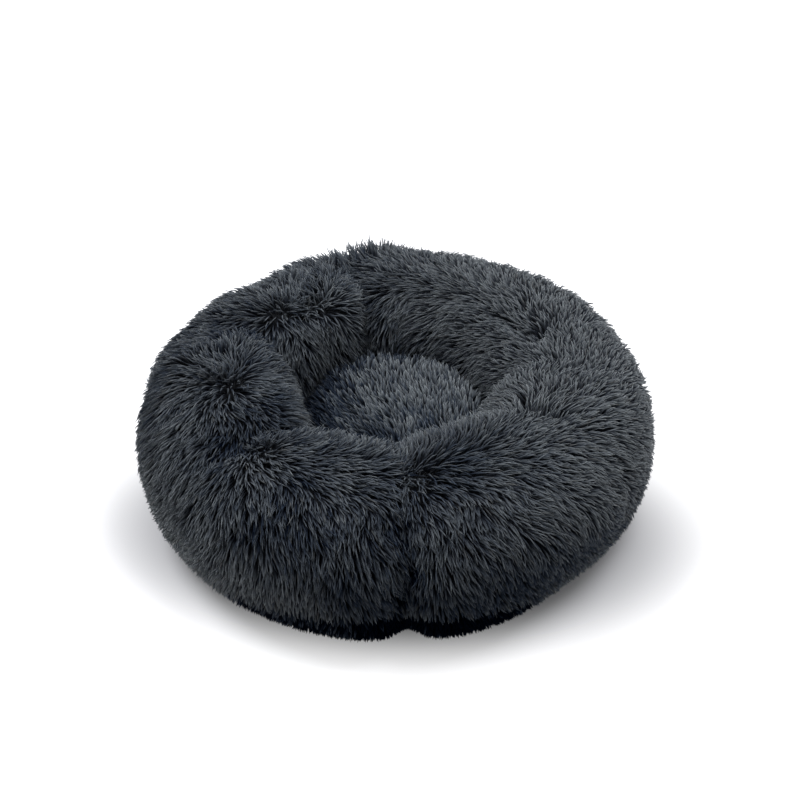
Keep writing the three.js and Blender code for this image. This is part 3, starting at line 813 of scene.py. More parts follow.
# How the pile lies, as the camera sees it: place in the picture of 800 by 800, and the way that the tips
# point, in degrees clockwise from the right.
seen_strokes = (
    # left whorl and the lobe round it
    (180, 360, 180), (200, 345, 182), (180, 335, 165), (165, 390, 140), (182, 402, 132), (200, 400, 120),
    (215, 405, 105), (235, 395, 80), (250, 395, 50), (265, 380, 20), (270, 365, 8), (255, 353, -5),
    (290, 400, 42), (262, 412, 52), (300, 425, 50), (242, 420, 78), (220, 430, 100), (170, 430, 130),
    (150, 410, 132), (155, 370, 170), (280, 385, 30), (240, 350, -60), (215, 352, 200),
    # rear left lobe and its two whorls
    (200, 310, 172), (230, 300, 190), (250, 290, 200), (270, 285, 215), (290, 288, 262), (250, 318, 176),
    (225, 328, 170), (285, 325, 95), (300, 330, 72), (310, 320, 60), (274, 328, 115), (300, 360, 60),
    (312, 350, 66), (348, 310, 10), (350, 298, 2), (345, 325, 34), (340, 345, 52), (360, 330, 36),
    (326, 342, 68), (340, 288, 10), (300, 270, 205), (318, 266, 215), (280, 345, 70), (262, 302, 185),
    (310, 292, 250), (325, 280, 190),
    # rear crest
    (330, 262, 232), (345, 255, 248), (365, 250, 245), (380, 258, 240), (398, 262, 234), (370, 272, 205),
    (430, 270, 230), (440, 262, 235), (452, 273, 232), (472, 262, 248), (492, 270, 245), (500, 287, 235),
    (480, 286, 222), (520, 302, 236), (505, 302, 220), (410, 272, 222), (520, 272, 255), (545, 285, 264),
    # right side of the crest
    (540, 302, 264), (552, 315, 270), (562, 300, 275), (577, 312, 275), (592, 330, 280), (602, 345, 286),
    (615, 340, 296), (628, 362, 312), (582, 292, 275), (570, 350, 264), (585, 360, 275), (602, 372, 302),
    (620, 388, 322), (634, 402, 345), (640, 422, 2), (600, 400, 345), (580, 396, 326), (562, 386, 300),
    (545, 386, 284), (562, 406, 322), (540, 411, 310), (520, 402, 286), (505, 398, 275), (542, 426, 330),
    (582, 420, 350), (602, 427, 356), (622, 432, 4), (562, 437, 0), (602, 447, 12), (622, 462, 26),
    # front right rim
    (502, 426, 315), (482, 431, 320), (472, 421, 300), (452, 431, 305), (440, 441, 300), (462, 442, 320),
    (502, 441, 345), (522, 436, 335), (430, 428, 285), (415, 446, 288), (432, 456, 312), (462, 456, 335),
    (482, 456, 354), (502, 456, 5), (532, 456, 10), (562, 461, 16), (592, 471, 26), (622, 482, 36),
    # rear part of the hole's wall
    (480, 331, 176), (460, 321, 166), (440, 316, 156), (440, 336, 150), (420, 321, 140), (415, 341, 120),
    (405, 326, 110), (450, 351, 145), (470, 351, 150), (490, 346, 170), (478, 371, 132), (463, 371, 126),
    (450, 301, 176), (480, 311, 180), (500, 321, 186), (520, 341, 190), (510, 350, 184), (512, 366, 184),
    (522, 358, 190), (505, 378, 180), (500, 387, 176), (545, 354, 225), (450, 290, 186), (430, 291, 170),
    (410, 291, 160), (400, 302, 138), (375, 310, 126), (385, 300, 128), (380, 332, 104), (398, 332, 96),
    (364, 287, 180), (366, 300, 165),
    # front left wall
    (150, 450, 128), (172, 452, 126), (192, 462, 124), (212, 472, 114), (160, 482, 124), (200, 492, 114),
    (180, 502, 118), (150, 492, 120), (230, 482, 96), (250, 492, 91), (270, 492, 90), (282, 502, 88),
    (300, 502, 84), (320, 512, 74), (340, 502, 60), (350, 490, 50), (366, 502, 60), (372, 482, 36),
    (360, 466, 6), (340, 466, 10), (382, 461, -4), (386, 492, 54), (380, 522, 70), (370, 542, 78),
    (350, 542, 85), (320, 552, 90), (380, 562, 76), (392, 590, 70), (300, 582, 90), (250, 562, 95),
    (220, 542, 104), (200, 552, 110), (180, 532, 114), (215, 455, 132), (240, 474, 96), (320, 466, 20),
    (300, 480, 60), (275, 478, 80), (225, 447, 140), (240, 448, 116), (254, 448, 78), (262, 458, 60),
    (260, 468, 80), (280, 468, 50), (300, 470, 30), (320, 476, 36),
    # front left rim
    (300, 438, 312), (285, 440, 316), (350, 446, 322), (380, 441, 318), (274, 437, 305), (325, 446, 320),
    (365, 446, 325), (395, 446, 300), (270, 450, 20), (285, 450, 355), (286, 459, 4), (302, 459, 0),
    (316, 459, 4), (300, 448, 335),
    # front right wall
    (420, 461, 335), (440, 466, 350), (460, 471, 14), (432, 476, 12), (440, 487, 56), (420, 492, 70),
    (410, 502, 84), (430, 512, 75), (450, 502, 65), (462, 522, 70), (470, 492, 50), (480, 512, 55),
    (490, 481, 34), (500, 502, 42), (522, 492, 35), (520, 478, 24), (540, 502, 38), (562, 502, 40),
    (582, 492, 35), (602, 502, 40), (560, 532, 48), (540, 552, 52), (500, 542, 58), (480, 562, 65),
    (450, 562, 70), (430, 562, 76), (440, 592, 76), (480, 592, 68), (522, 582, 58), (560, 562, 52),
    (602, 542, 48), (622, 512, 42), (402, 492, 78), (400, 530, 88), (404, 570, 90),
)


def sampled(grid, columns, rows):
    """Bilinear values of a grid at fractional columns (round the bed) and rows."""
    first = np.floor(columns).astype(int)
    share = (columns - first)[:, None]
    after = (first + 1) % grid.shape[0]
    low = np.minimum(np.floor(rows).astype(int), grid.shape[1] - 2)
    part = (rows - low)[:, None]
    near = grid[first, low] * (1 - part) + grid[first, low + 1] * part
    far = grid[after, low] * (1 - part) + grid[after, low + 1] * part
    return near * (1 - share) + far * share


def square_to(vectors, normals):
    """The part of each vector that lies along the cloth."""
    return vectors - normals * (vectors * normals).sum(-1, keepdims=True)


def grow(roots, normals, combs, lengths, lean, droop, seed):
    """Centre lines of the locks: they leave the cloth at the root lean and lie over to the tip lean."""
    rng = np.random.default_rng(seed)
    sides = np.cross(normals, combs)
    wave_phase = rng.uniform(0, 2 * math.pi, len(roots))
    wave_size = rng.uniform(0.1, 0.5, len(roots))
    lines = [roots]
    for low, high in zip(lock_shares[:-1], lock_shares[1:]):
        middle = (low + high) / 2
        angle = np.radians(lean[0] + (lean[1] - lean[0]) * middle)[:, None]
        step = normals * np.cos(angle) + combs * np.sin(angle)
        step = step + sides * (np.sin(wave_phase + 5.0 * middle) * wave_size * 0.55)[:, None]
        step[:, 2] -= droop * middle
        lines.append(lines[-1] + unit(step) * (lengths * (high - low))[:, None])
    return np.stack(lines, axis=1)


def gathered_tips(lines, spacing, pull, seed):
    """Locks near each other lean together into tufts. Also gives each lock's tuft."""
    rng = np.random.default_rng(seed)
    tips = lines[:, -1]
    order = rng.permutation(len(tips))
    tree = kdtree.KDTree(len(tips))
    for i, tip in enumerate(tips):
        tree.insert(tip, i)
    tree.balance()
    taken = np.full(len(tips), -1)
    for i in order:
        if taken[i] >= 0:
            continue
        for _, j, _ in tree.find_range(tips[i], spacing / 2):
            if taken[j] < 0:
                taken[j] = i
    shift = (tips[taken] - tips) * np.broadcast_to(pull, len(tips))[:, None]
    return lines + shift[:, None, :] * (np.array(lock_shares) ** 2)[None, :, None], taken


def lock_mesh(name, lines, radii, tones, lifts):
    """Pointed locks round their centre lines, with a map: across is the lock's tone, up is root to tip.

    A lock with a lift starts that share of the way up.
    """
    count, rings = len(lines), lines.shape[1] - 1
    tangents = unit(np.gradient(lines, axis=1))
    side = unit(np.cross(tangents[:, 0], [0.3, 0, 1]))
    points = np.empty((count, rings * lock_sides + 1, 3))
    for ring in range(rings):
        across = unit(square_to(side, tangents[:, ring]))
        over = np.cross(tangents[:, ring], across)
        for k in range(lock_sides):
            angle = 2 * math.pi * k / lock_sides
            offset = across * math.cos(angle) + over * math.sin(angle)
            points[:, ring * lock_sides + k] = lines[:, ring] + offset * (radii * lock_widths[ring])[:, None]
    points[:, -1] = lines[:, -1]
    quads = []
    for ring in range(rings - 1):
        for k in range(lock_sides):
            a, b = ring * lock_sides + k, ring * lock_sides + (k + 1) % lock_sides
            quads.append((a, b, b + lock_sides, a + lock_sides))
    top = (rings - 1) * lock_sides
    triangles = [(top + k, top + (k + 1) % lock_sides, rings * lock_sides) for k in range(lock_sides)]
    triangles.append(tuple(reversed(range(lock_sides))))
    corners = np.concatenate([np.array(quads).reshape(-1), np.array(triangles).reshape(-1)])
    sizes = np.array([4] * len(quads) + [3] * len(triangles))
    firsts = np.concatenate([[0], np.cumsum(sizes)[:-1]])
    per_lock = points.shape[1]
    loops = (np.arange(count)[:, None] * per_lock + corners[None, :]).reshape(-1)
    all_firsts = (np.arange(count)[:, None] * sizes.sum() + firsts[None, :]).reshape(-1)
    mesh = bpy.data.meshes.new(name)
    mesh.vertices.add(count * per_lock)
    mesh.vertices.foreach_set("co", points.reshape(-1).astype(np.float32))
    mesh.loops.add(len(loops))
    mesh.loops.foreach_set("vertex_index", loops.astype(np.int32))
    mesh.polygons.add(count * len(sizes))
    mesh.polygons.foreach_set("loop_start", all_firsts.astype(np.int32))
    mesh.polygons.foreach_set("use_smooth", np.ones(len(all_firsts), bool))
    u = np.concatenate([np.tile(np.linspace(-1, 1, lock_sides), rings), [0.0]])
    v = np.concatenate([np.repeat(lock_shares[:-1], lock_sides), [1.0]])
    # Without this the face at the root would have no area on the map
    v[1] = 0.01
    uv = np.empty((count, len(corners), 2))
    uv[:, :, 0] = tones[:, None] + u[corners][None, :] * lock_tone_width
    uv[:, :, 1] = lifts[:, None] + (1 - lifts[:, None]) * v[corners][None, :]
    layer = mesh.uv_layers.new(name="OFBake")
    layer.data.foreach_set("uv", uv.reshape(-1).astype(np.float32))
    mesh.update()
    mesh.validate()
    obj = bpy.data.objects.new(name, mesh)
    bpy.context.scene.collection.objects.link(obj)
    return obj


def ramp_of(tree, share, stops):
    """A colour by this share, from stops of place and colour, in order."""
    ramp = add(tree, "ValToRGB", {"Fac": share})
    elements = ramp.color_ramp.elements
    elements[0].position, elements[0].color = stops[0][0], (*stops[0][1], 1)
    elements[1].position, elements[1].color = stops[-1][0], (*stops[-1][1], 1)
    for place, colour in stops[1:-1]:
        elements.new(place).color = (*colour, 1)
    return ramp.outputs["Color"]


def pile_material(name, light, brown_dark, brown_light):
    """Fibre finish: the map's across share gives each lock its tone, and its up share runs root to tip."""
    material, tree, shader = new_material(name, roughness=0.6, specular=0.5)
    strand = add(tree, "UVMap", uv_map="OFBake").outputs["UV"]
    share = add(tree, "SeparateXYZ", {0: strand}).outputs
    tone = ramp_of(tree, share["X"], (
        (0.0, pile_shadow), (0.08, pile_dark), (0.8, light), (0.81, brown_dark), (1.0, brown_light)))
    # Painted shade: each lock is darker and bluer towards its root, deep in the pile, and paler at its tip
    rise = ramp_of(tree, share["Y"], (
        (0.0, (0.010, 0.012, 0.030)), (0.5, (0.21, 0.225, 0.275)), (0.75, (0.88, 0.90, 0.94)),
        (1.0, (1.5, 1.5, 1.5))))
    stretch = add(tree, "Mapping", {"Vector": strand, "Scale": (900, 2.5, 1)})
    streaks = add(tree, "TexNoise", {"Vector": stretch.outputs["Vector"], "Scale": 1, "Detail": 3})
    streak = add(tree, "MapRange", {
        "Value": streaks.outputs["Fac"], "From Min": 0.3, "From Max": 0.7, "To Min": 0.75, "To Max": 1.25})
    tone_with_root_shade = add(tree, "VectorMath", {0: tone, 1: rise}, operation="MULTIPLY")
    hair = add(
        tree, "VectorMath", {0: tone_with_root_shade.outputs[0], "Scale": streak.outputs["Result"]}, operation="SCALE")
    # Dark pile, and each lock's root, gives back less light of every kind
    paleness = add(tree, "SeparateXYZ", {0: hair.outputs[0]}).outputs["X"]
    feed(tree, shader, {
        "Base Color": hair.outputs[0],
        "Sheen Weight": sums(tree, "MULTIPLY", paleness, 2.2),
        "Specular IOR Level": sums(tree, "MULTIPLY", paleness, 2.8),
        "Specular Tint": (0.86, 0.95, 1.0, 1), "Sheen Tint": (0.88, 0.95, 1.0, 1), "Sheen Roughness": 0.5})
    return material


def rooted(points, spacing, last_row, seed):
    """Fractional columns and rows of evenly scattered roots on a grid of points."""
    rng = np.random.default_rng(seed)
    lengths = np.linalg.norm(np.diff(points, axis=1), axis=2).mean(0)
    along = np.concatenate([[0], np.cumsum(lengths)])
    grid_rows = np.arange(len(along))
    columns, rows = [], []
    for number, place in enumerate(np.arange(0, np.interp(last_row, grid_rows, along), spacing * 0.87)):
        row = np.interp(place, along, grid_rows)
        ring = sampled(points, np.arange(points.shape[0], dtype=float), np.full(points.shape[0], row))
        length = np.linalg.norm(np.roll(ring, -1, axis=0) - ring, axis=1).sum()
        count = max(3, int(length / spacing))
        turn = (np.arange(count) + 0.5 * (number % 2) + rng.uniform(-0.4, 0.4, count)) / count
        columns.append((turn % 1.0) * points.shape[0])
        shift = rng.uniform(-0.4, 0.4, count) * spacing
        rows.append(np.interp(place + shift, along, grid_rows))
    columns, rows = np.concatenate(columns), np.concatenate(rows)
    return np.minimum(columns, points.shape[0] - 1e-6), rows


# Places of the wall whose pile is painted paler or darker, as painted light and shade: azimuth, reach in
# degrees, how much, and how far that fades towards the crest
wall_painted_light_and_shade = ((208, 19, 0.56, 0.8), (306, 26, -0.32, 0.6))
# Painted light and shade on the crown, paler or darker: azimuth, reach in degrees and how much paler
crown_painted_light_and_shade = ((5, 38, 0.84), (72, 28, 0.07), (136, 18, 0.07), (180, 18, -0.13), (250, 30, -0.10))
# Where the pile stands up instead of lying: azimuth, section, reach in each, and share of length added
ruffled = (
    (101, 62, 8, 14, 0.60), (298, 132, 26, 20, 0.22), (250, 134, 18, 18, 0.10),
    (190, 140, 22, 20, 0.0),
)
ruffled_root_rise = 14
ruffled_tip_rise = 26
# Painted shade deep in the hole beside the slack side of the cushion: azimuth, reach in degrees and how much
painted_hole_shade = (195, 50, 0.30)
fold_shade = 0.40
# At the front the lowest pile, under the bolster, is painted nearly black: painted shade. How high the shade
# reaches at these radii, and how far round
shade_band_radii = (0.200, 0.215, 0.235, 0.245)
shade_band_heights = (0.012, 0.030, 0.050, 0.058)
shade_band_azimuth = 268
shade_band_reach = 36
shade_band_fade = 0.022
shade_band_darkening = 0.5


def combed_on(points, normals, strokes):
    """Points under the strokes, and the tips' directions there, along the cloth."""
    tilt = math.radians(camera_elevation)
    away = points - np.array(camera_place)
    depth = away @ np.array([0, math.cos(tilt), -math.sin(tilt)])
    rise = away @ np.array([0, math.sin(tilt), math.cos(tilt)])
    focal = camera_lens / film_width * picture_size
    x = picture_size * (0.5 - frame_shift_x) + focal * away[:, 0] / depth
    y = picture_size * (0.5 + frame_shift_y) - focal * rise / depth
    sight = unit(away)
    facing = -(sight * normals).sum(1)
    places, combs = [], []
    for stroke_x, stroke_y, stroke_turn in strokes:
        miss = (x - stroke_x) ** 2 + (y - stroke_y) ** 2 + 800 * depth + 1e6 * (facing < 0.12)
        i = int(np.argmin(miss))
        turn = math.radians(stroke_turn)
        drawn = np.array([math.cos(turn), -math.sin(turn) * math.sin(tilt), -math.sin(turn) * math.cos(tilt)])
        places.append(points[i])
        comb = drawn + sight[i] * (drawn @ normals[i]) / facing[i]
        combs.append(comb / np.linalg.norm(comb))
    return places, combs


def flow_at(points, normals, places, combs, near, far):
    """Direction of the pile from the strokes round each point. It is short where they disagree."""
    flow = np.zeros_like(points)
    total = np.zeros(len(points))
    for place, comb in zip(places, combs):
        distance = ((points - place) ** 2).sum(1)
        weight = np.exp(-distance / (2 * near ** 2)) + 0.012 * np.exp(-distance / (2 * far ** 2)) + 1e-9
        flow += weight[:, None] * comb
        total += weight
    flow /= total[:, None]
    return square_to(flow, normals)


normal, across = surface_frames(ring_cloth_points)
grid = ring_cloth_points.reshape(-1, 3)
grid_normals = normal.reshape(-1, 3)
stroke_places, stroke_combs = combed_on(grid + grid_normals * 0.008, grid_normals, seen_strokes)
# Out of sight, at the back and inside the front of the hole, the pile hangs as its weight takes it
downhill = unit(-across)
for azimuth in range(0, 360, 10):
    column = int(round(azimuth / 360 * ring_columns)) % ring_columns
    outside = (62, 35, 8, -20, -48) if 20 <= azimuth <= 160 else (-50,)
    inside = (128, 152, 176) if 200 <= azimuth <= 340 else ()
    for section in outside + inside:
        row = int(np.argmin(np.abs(ring_sections[column] - section)))
        stroke_places.append(ring_cloth_points[column, row])
        stroke_combs.append(downhill[column, row] * (-1 if section in inside else 1))
flow = flow_at(grid, grid_normals, stroke_places, stroke_combs, 0.012, 0.045).reshape(ring_cloth_points.shape)

mean_sections = ring_sections.mean(0)
last_row = float(np.interp(inner_pile_end, mean_sections, np.arange(ring_rows)))
columns, rows = rooted(ring_cloth_points, lock_spacing, last_row, seed=11)
roots = sampled(ring_cloth_points, columns, rows)
normals = unit(sampled(normal, columns, rows))
combs = sampled(flow, columns, rows)
steep = np.linalg.norm(combs, axis=1)
side = np.cross(normals, combs / np.maximum(steep, 1e-6)[:, None])
combs += side * (0.22 * waves(roots, 0.035, 10, 3) + 0.18 * waves(roots, 0.011, 12, 4))[:, None]
count = len(roots)
lay_share = smooth(steep, 0.1, 0.8)
combs += np.random.default_rng(5).normal(size=combs.shape) * (0.12 + 0.45 * (1 - lay_share))[:, None]
combs = square_to(combs, normals)
combs /= np.maximum(np.linalg.norm(combs, axis=1, keepdims=True), 1e-6)
rng = np.random.default_rng(6)
around = np.interp(columns, np.arange(ring_columns), ring_azimuths)
section_at = np.interp(rows, np.arange(ring_rows), mean_sections)
outer = np.linalg.norm(roots[:, :2], axis=1) > ring_middle
high_up = np.where(outer, smooth(roots[:, 2], 0.03, 0.125), 1.0)
low_down = 1 - smooth(roots[:, 2], 0.02, 0.09)
front = smooth(-np.sin(np.radians(around)), 0.1, 0.8)
folded = (fold_depth(around, section_at) + bulge_height(around, section_at, cover_creases)) / deepest_fold

# The locks lie flatter and are longer on the crown than low on the wall
root_angle = root_lean * (0.25 + 0.75 * lay_share) * (1 - (0.25 + 0.38 * front) * (1 - high_up))
tip_angle = tip_lean * (0.45 + 0.55 * lay_share) * (1 - (0.18 + 0.38 * front) * (1 - high_up))
lean = (root_angle + rng.normal(0, 5, count), tip_angle + rng.normal(0, 6, count))
short = 0.36 - 0.12 * front + (0.44 + 0.06 * front) * smooth(roots[:, 2], 0.008, 0.05)
short = np.where(outer, short + (0.2 + 0.06 * front) * smooth(roots[:, 2], 0.06, 0.12), 1.0)
lengths = lock_length * (0.97 + rng.uniform(-0.19, 0.15, count) * (0.4 + 0.6 * high_up))
lengths = lengths * (0.8 + 0.2 * lay_share) * short
at_zip = smooth(around, 20, 24) * (1 - smooth(around, 130, 134))
lengths *= 1 - 0.3 * at_zip * (1 - smooth(rows, 2, 9))
radii = lock_radius * rng.uniform(0.75, 1.2, count) * (1.22 - 0.45 * high_up)
for azimuth, section, reach, spread, more in ruffled:
    here = bell(turn_from(around, azimuth) / reach, (section_at - section) / spread)
    lengths *= 1 + more * here * rng.uniform(0.2, 1.0, count)
    lean[0][:] -= ruffled_root_rise * here
    lean[1][:] -= ruffled_tip_rise * here
lengths *= 1 - 0.35 * folded
lines = grow(roots, normals, combs, lengths, lean, lock_droop * high_up, seed=7)
lines, tuft = gathered_tips(lines, clump_spacing, clump_pull * (0.45 + 0.55 * high_up), seed=8)
lines[:, :, 2] = np.maximum(lines[:, :, 2], pile_floor)

# Each tuft has its own tone, and the tone wanders over the bolster; below, light and shade are painted into
# it too
tone = 0.46 + 0.11 * rng.normal(size=count)[tuft] + 0.05 * rng.normal(size=count)
# Painted light and shade on the walls
for azimuth, reach, shift, fading in wall_painted_light_and_shade:
    tone += shift * bell((around - azimuth) / reach) * (1 - fading * high_up)
tone = np.maximum(tone + 0.09 * waves(roots, 0.06, 8, 9), 0.10)
# The pile in the folds and creases is painted darker: painted shade
tone -= fold_shade * folded * np.clip(0.65 + 0.5 * waves(roots, 0.02, 8, 10), 0, 1)
# Painted shade deep in the hole
hole_shade_at, slack_reach, hole_shade_amount = painted_hole_shade
tone -= hole_shade_amount * bell(turn_from(around, hole_shade_at) / slack_reach) * smooth(section_at, 150, 175)
# Painted shade: at the front the lowest locks, under the bolster, are painted nearly black
tip_out = np.linalg.norm(lines[:, -1, :2], axis=1)
off_front = turn_from(around, shade_band_azimuth) / shade_band_reach
lit_edge = np.interp(tip_out, shade_band_radii, shade_band_heights) - shade_band_fade * off_front ** 2
in_painted_shade_band = (1 - smooth(lines[:, -1, 2] - lit_edge, -0.004, 0.002)) * outer * (np.abs(off_front) < 1.3)
tone -= shade_band_darkening * in_painted_shade_band
# Painted light and shade on the crown
for azimuth, reach, shift in crown_painted_light_and_shade:
    tone += shift * bell(turn_from(around, azimuth) / reach) * smooth(roots[:, 2], 0.08, 0.125)
tone = np.clip(tone, 0.0, palest_tone)
# A whorl's middle, where the pile stands up, gets less of the painted shade at its roots, so it isn't black
# down to them
lifts = whorl_lift * (1 - lay_share) * (1 - folded.clip(0, 1))
# Some locks, most of them low down, are browner: their tone is past the end of the plain ones
brown = rng.uniform(size=count) < (0.03 + 0.25 * low_down) * (in_painted_shade_band < 0.5)
tone = np.where(brown, 0.82 + 0.16 * tone / palest_tone, tone)

ring_pile_finish = pile_material(
    "ring_pile", light=(0.135, 0.149, 0.161), brown_dark=(0.028, 0.033, 0.040),
    brown_light=(0.110, 0.112, 0.112))
piece_columns = ring_columns / ring_pile_pieces
for number in range(ring_pile_pieces):
    here = (columns >= number * piece_columns) & (columns < (number + 1) * piece_columns)
    pile = lock_mesh(f"ring_pile_{number + 1:02d}", lines[here], radii[here], tone[here], lifts[here])
    pile.data.materials.append(ring_pile_finish)
    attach(pile, "bed")


# Cushion fill
# Loose polyester fibre, like the bolster's, fills the cushion and rounds it up into a low dome.
cushion_rim_height = 0.072
cushion_crown_height = 0.090
cushion_side_gap = 0.0045
slack_azimuth = 185
slack_depth = 0.009
cushion_foot = 0.006
cushion_columns = 144
dome_rows = 22
side_rows = 9
dome_power = 2.6
slack_reach = 55
cushion_fill_inset = 0.0013
cushion_floor = 0.0026
cushion_fill_sink = 0.0006
cushion_turns = np.arange(cushion_columns) * 360 / cushion_columns


def cushion_form(depth):
    """The cushion's top and sides, this far inside its cloth, from the crown out and down."""
    side_points = ring_point(cushion_turns[:, None], np.linspace(180, 246, side_rows), 0, 0)
    side_radius = np.linalg.norm(side_points[..., :2], axis=-1) - cushion_side_gap - depth
    rim_height = cushion_rim_height - depth
    side_height = cushion_foot + (side_points[..., 2] - side_points[:, -1:, 2]) * (
        (rim_height - cushion_foot) / (side_points[:, :1, 2] - side_points[:, -1:, 2]))
    shares = np.linspace(0.02, 1, dome_rows)
    rise = (cushion_crown_height - cushion_rim_height) * np.sqrt(np.maximum(1 - shares ** dome_power, 0))
    dome_height = np.broadcast_to(rim_height + rise, (cushion_columns, dome_rows))
    radius = np.concatenate([side_radius[:, :1] * shares[None, :], side_radius[:, 1:]], axis=1)
    height = np.concatenate([dome_height, side_height[:, 1:]], axis=1)
    slack = bell(turn_from(cushion_turns[:, None], slack_azimuth) / slack_reach)
    height -= slack_depth * slack * smooth(radius, 0.015, 0.065) * smooth(height, 0.03, 0.07)
    return round_axis(radius, np.radians(cushion_turns)[:, None], height)


def capped(points, ends):
    """Points and faces of a form in columns round the bed, closed on its axis at these ends of its rows."""
    columns, rows = points.shape[:2]
    faces = grid_faces(columns, rows, closed=True)
    all_points = [points.reshape(-1, 3)]
    for number, row in enumerate(ends):
        all_points.append(np.array([[0, 0, points[:, row, 2].mean()]]))
        middle = columns * rows + number
        faces += [(i * rows + row, (i + 1) % columns * rows + row, middle) for i in range(columns)]
    return np.concatenate(all_points), faces


fill_points = cushion_form(cushion_fill_inset)
fill_points[:, -1, 2] = cushion_floor
inner_rings = [fill_points[:, -1:] * np.array([share, share, 1]) for share in (0.7, 0.35)]
fill_points = np.concatenate([fill_points, *inner_rings], axis=1)
sink = cushion_fill_sink * (1 + np.clip(waves(fill_points, size=0.02, count=14, seed=71), -1, 1))
fill_points[:, :dome_rows, 2] -= sink[:, :dome_rows]
cushion_fibre = smooth_piece("cushion_fibre", *capped(fill_points, (0, fill_points.shape[1] - 1)))
cushion_fibre.data.materials.append(white_fibre)
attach(cushion_fibre, "bed")
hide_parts("cushion_fill")


# Cushion cover
# A loose round cushion fills the hole. Its top is the same plush with the pile brushed upright.
# How its pile lies, as the camera sees it: place in the picture, and the way that the tips point
cushion_strokes = (
    (400, 365, 268), (430, 368, 262), (452, 378, 250), (462, 395, 240), (375, 372, 262), (355, 382, 235),
    (340, 392, 222), (345, 410, 215), (365, 405, 225), (385, 395, 245), (405, 390, 262), (430, 395, 255),
    (400, 415, 230), (375, 425, 210), (430, 425, 240), (455, 420, 250), (350, 428, 205),
)
cushion_lock_length = 0.021
# Painted shade: the cushion is darker at its slack rim, and a little at its far rim: azimuth and reach in
# degrees
slack_rim = (slack_azimuth + 12, 58)
far_rim_shade = (115, 45)
cushion_points = cushion_form(0)
cushion_rows = cushion_points.shape[1]
cushion_faces = grid_faces(cushion_columns, cushion_rows, closed=True)
cushion_pins = np.zeros((cushion_columns, cushion_rows))
cushion_pins[:, dome_rows - 2:] = 0.7
cushion_pins[:, -2:] = 1
cushion_points = swollen("cushion_swell", cushion_points, cushion_faces, cushion_pins, -2.0, swell_limit)

cushion_cloth = smooth_piece("cushion_cover_cloth", *capped(cushion_points, (0,)))
walled(cushion_cloth, cloth_thickness)
cushion_cloth.data.materials.append(plush_backing)
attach(cushion_cloth, "bed")
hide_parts("cushion_cover")

normal = surface_frames(cushion_points)[0]
if normal[0, 2, 2] < 0:
    normal = -normal
columns, rows = rooted(cushion_points, lock_spacing * 1.1, dome_rows + 1.0, seed=21)
roots = sampled(cushion_points, columns, rows)
normals = unit(sampled(normal, columns, rows))
rng = np.random.default_rng(22)
count = len(roots)
places, combed = combed_on(cushion_points.reshape(-1, 3), normal.reshape(-1, 3), cushion_strokes)
combs = flow_at(roots, normals, places, combed, 0.018, 0.05)
combs += rng.normal(scale=0.16, size=combs.shape)
combs[:, 0] += 0.16 * waves(roots, 0.03, 8, 23)
combs[:, 1] += 0.16 * waves(roots, 0.03, 8, 24)
combs = unit(square_to(combs, normals))
around = columns / cushion_columns * 360
edge = smooth(rows, dome_rows - 7, dome_rows)
left = bell(turn_from(around, slack_rim[0]) / slack_rim[1])
lengths = cushion_lock_length * rng.uniform(0.8, 1.12, count) * (1 - 0.65 * edge * left)
radii = lock_radius * 1.05 * rng.uniform(0.75, 1.2, count)
lean = (18 + rng.normal(0, 6, count), 66 + rng.normal(0, 8, count))
lines = grow(roots, normals, combs, lengths, lean, droop=0.1, seed=25)
lines, tuft = gathered_tips(lines, clump_spacing * 1.1, clump_pull, seed=26)
tone = 0.46 + 0.12 * rng.normal(size=count)[tuft] + 0.07 * rng.normal(size=count)
tone = np.maximum(tone + 0.08 * waves(roots, 0.03, 8, 27), 0.10)
# Painted shade: darker at the slack rim, towards the front and at the far rim
tone -= 0.40 * left * smooth(rows, dome_rows - 19, dome_rows - 7) + 0.12 * smooth(-roots[:, 1], 0.0, 0.05)
tone -= 0.30 * bell((around - far_rim_shade[0]) / far_rim_shade[1]) * smooth(rows, dome_rows - 9, dome_rows - 2)
tone = np.clip(tone, 0.05, palest_tone)
cushion_pile_finish = pile_material(
    "cushion_pile", light=(0.161, 0.178, 0.190), brown_dark=(0.030, 0.035, 0.042),
    brown_light=(0.140, 0.143, 0.143))
cushion_pile = lock_mesh("cushion_pile", lines, radii, tone, np.zeros(count))
cushion_pile.data.materials.append(cushion_pile_finish)
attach(cushion_pile, "bed")


# Base binding
# A woven strip, folded over the raw edges of the base seam and sewn down with one row of stitches.
# It lies on the straight lower stretch of the liner, as the zip does: s runs up that stretch from the
# base seam, and n leads away from the filling.
liner_outside = (0.0143, 0.0015)
binding_width = 0.007
binding_thickness = 0.0012
seam_place = ring_point(90, base_seam_section, *liner_outside)[1:]
zip_top_place = ring_point(90, zip_top_section, *liner_outside)[1:]
band_length = float(np.linalg.norm(zip_top_place - seam_place))
band_run, band_rise = (zip_top_place - seam_place) / band_length


def band_point(s, n):
    return (seam_place[0] + s * band_run + n * band_rise, seam_place[1] + s * band_rise - n * band_run)


def band_section(low_s, high_s, low_n, high_n):
    return [band_point(s, n) for s, n in rounded_strip(low_s, high_s, low_n, high_n)]


def band_frame(azimuth, s, n):
    """A place on the band: x leads round the bed, y up the band and z away from the filling."""
    radius, height = band_point(s, n)
    turn = math.radians(azimuth)
    outward = Vector((math.cos(turn), math.sin(turn), 0))
    along = Vector((-math.sin(turn), math.cos(turn), 0))
    across = outward * band_run + Vector((0, 0, band_rise))
    place = Matrix((along, across, along.cross(across))).transposed().to_4x4()
    place.translation = outward * radius + Vector((0, 0, height))
    return place


binding_inner, binding_outer = piece_gap, piece_gap + binding_thickness
binding = strip_round(
    "base_binding_strip",
    lambda azimuth: band_section(piece_gap, binding_width, binding_inner, binding_outer),
    np.arange(0, 360, 1.5), closed=True)
binding.data.materials.append(binding_finish)
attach(binding, "bed")
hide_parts("base_binding")

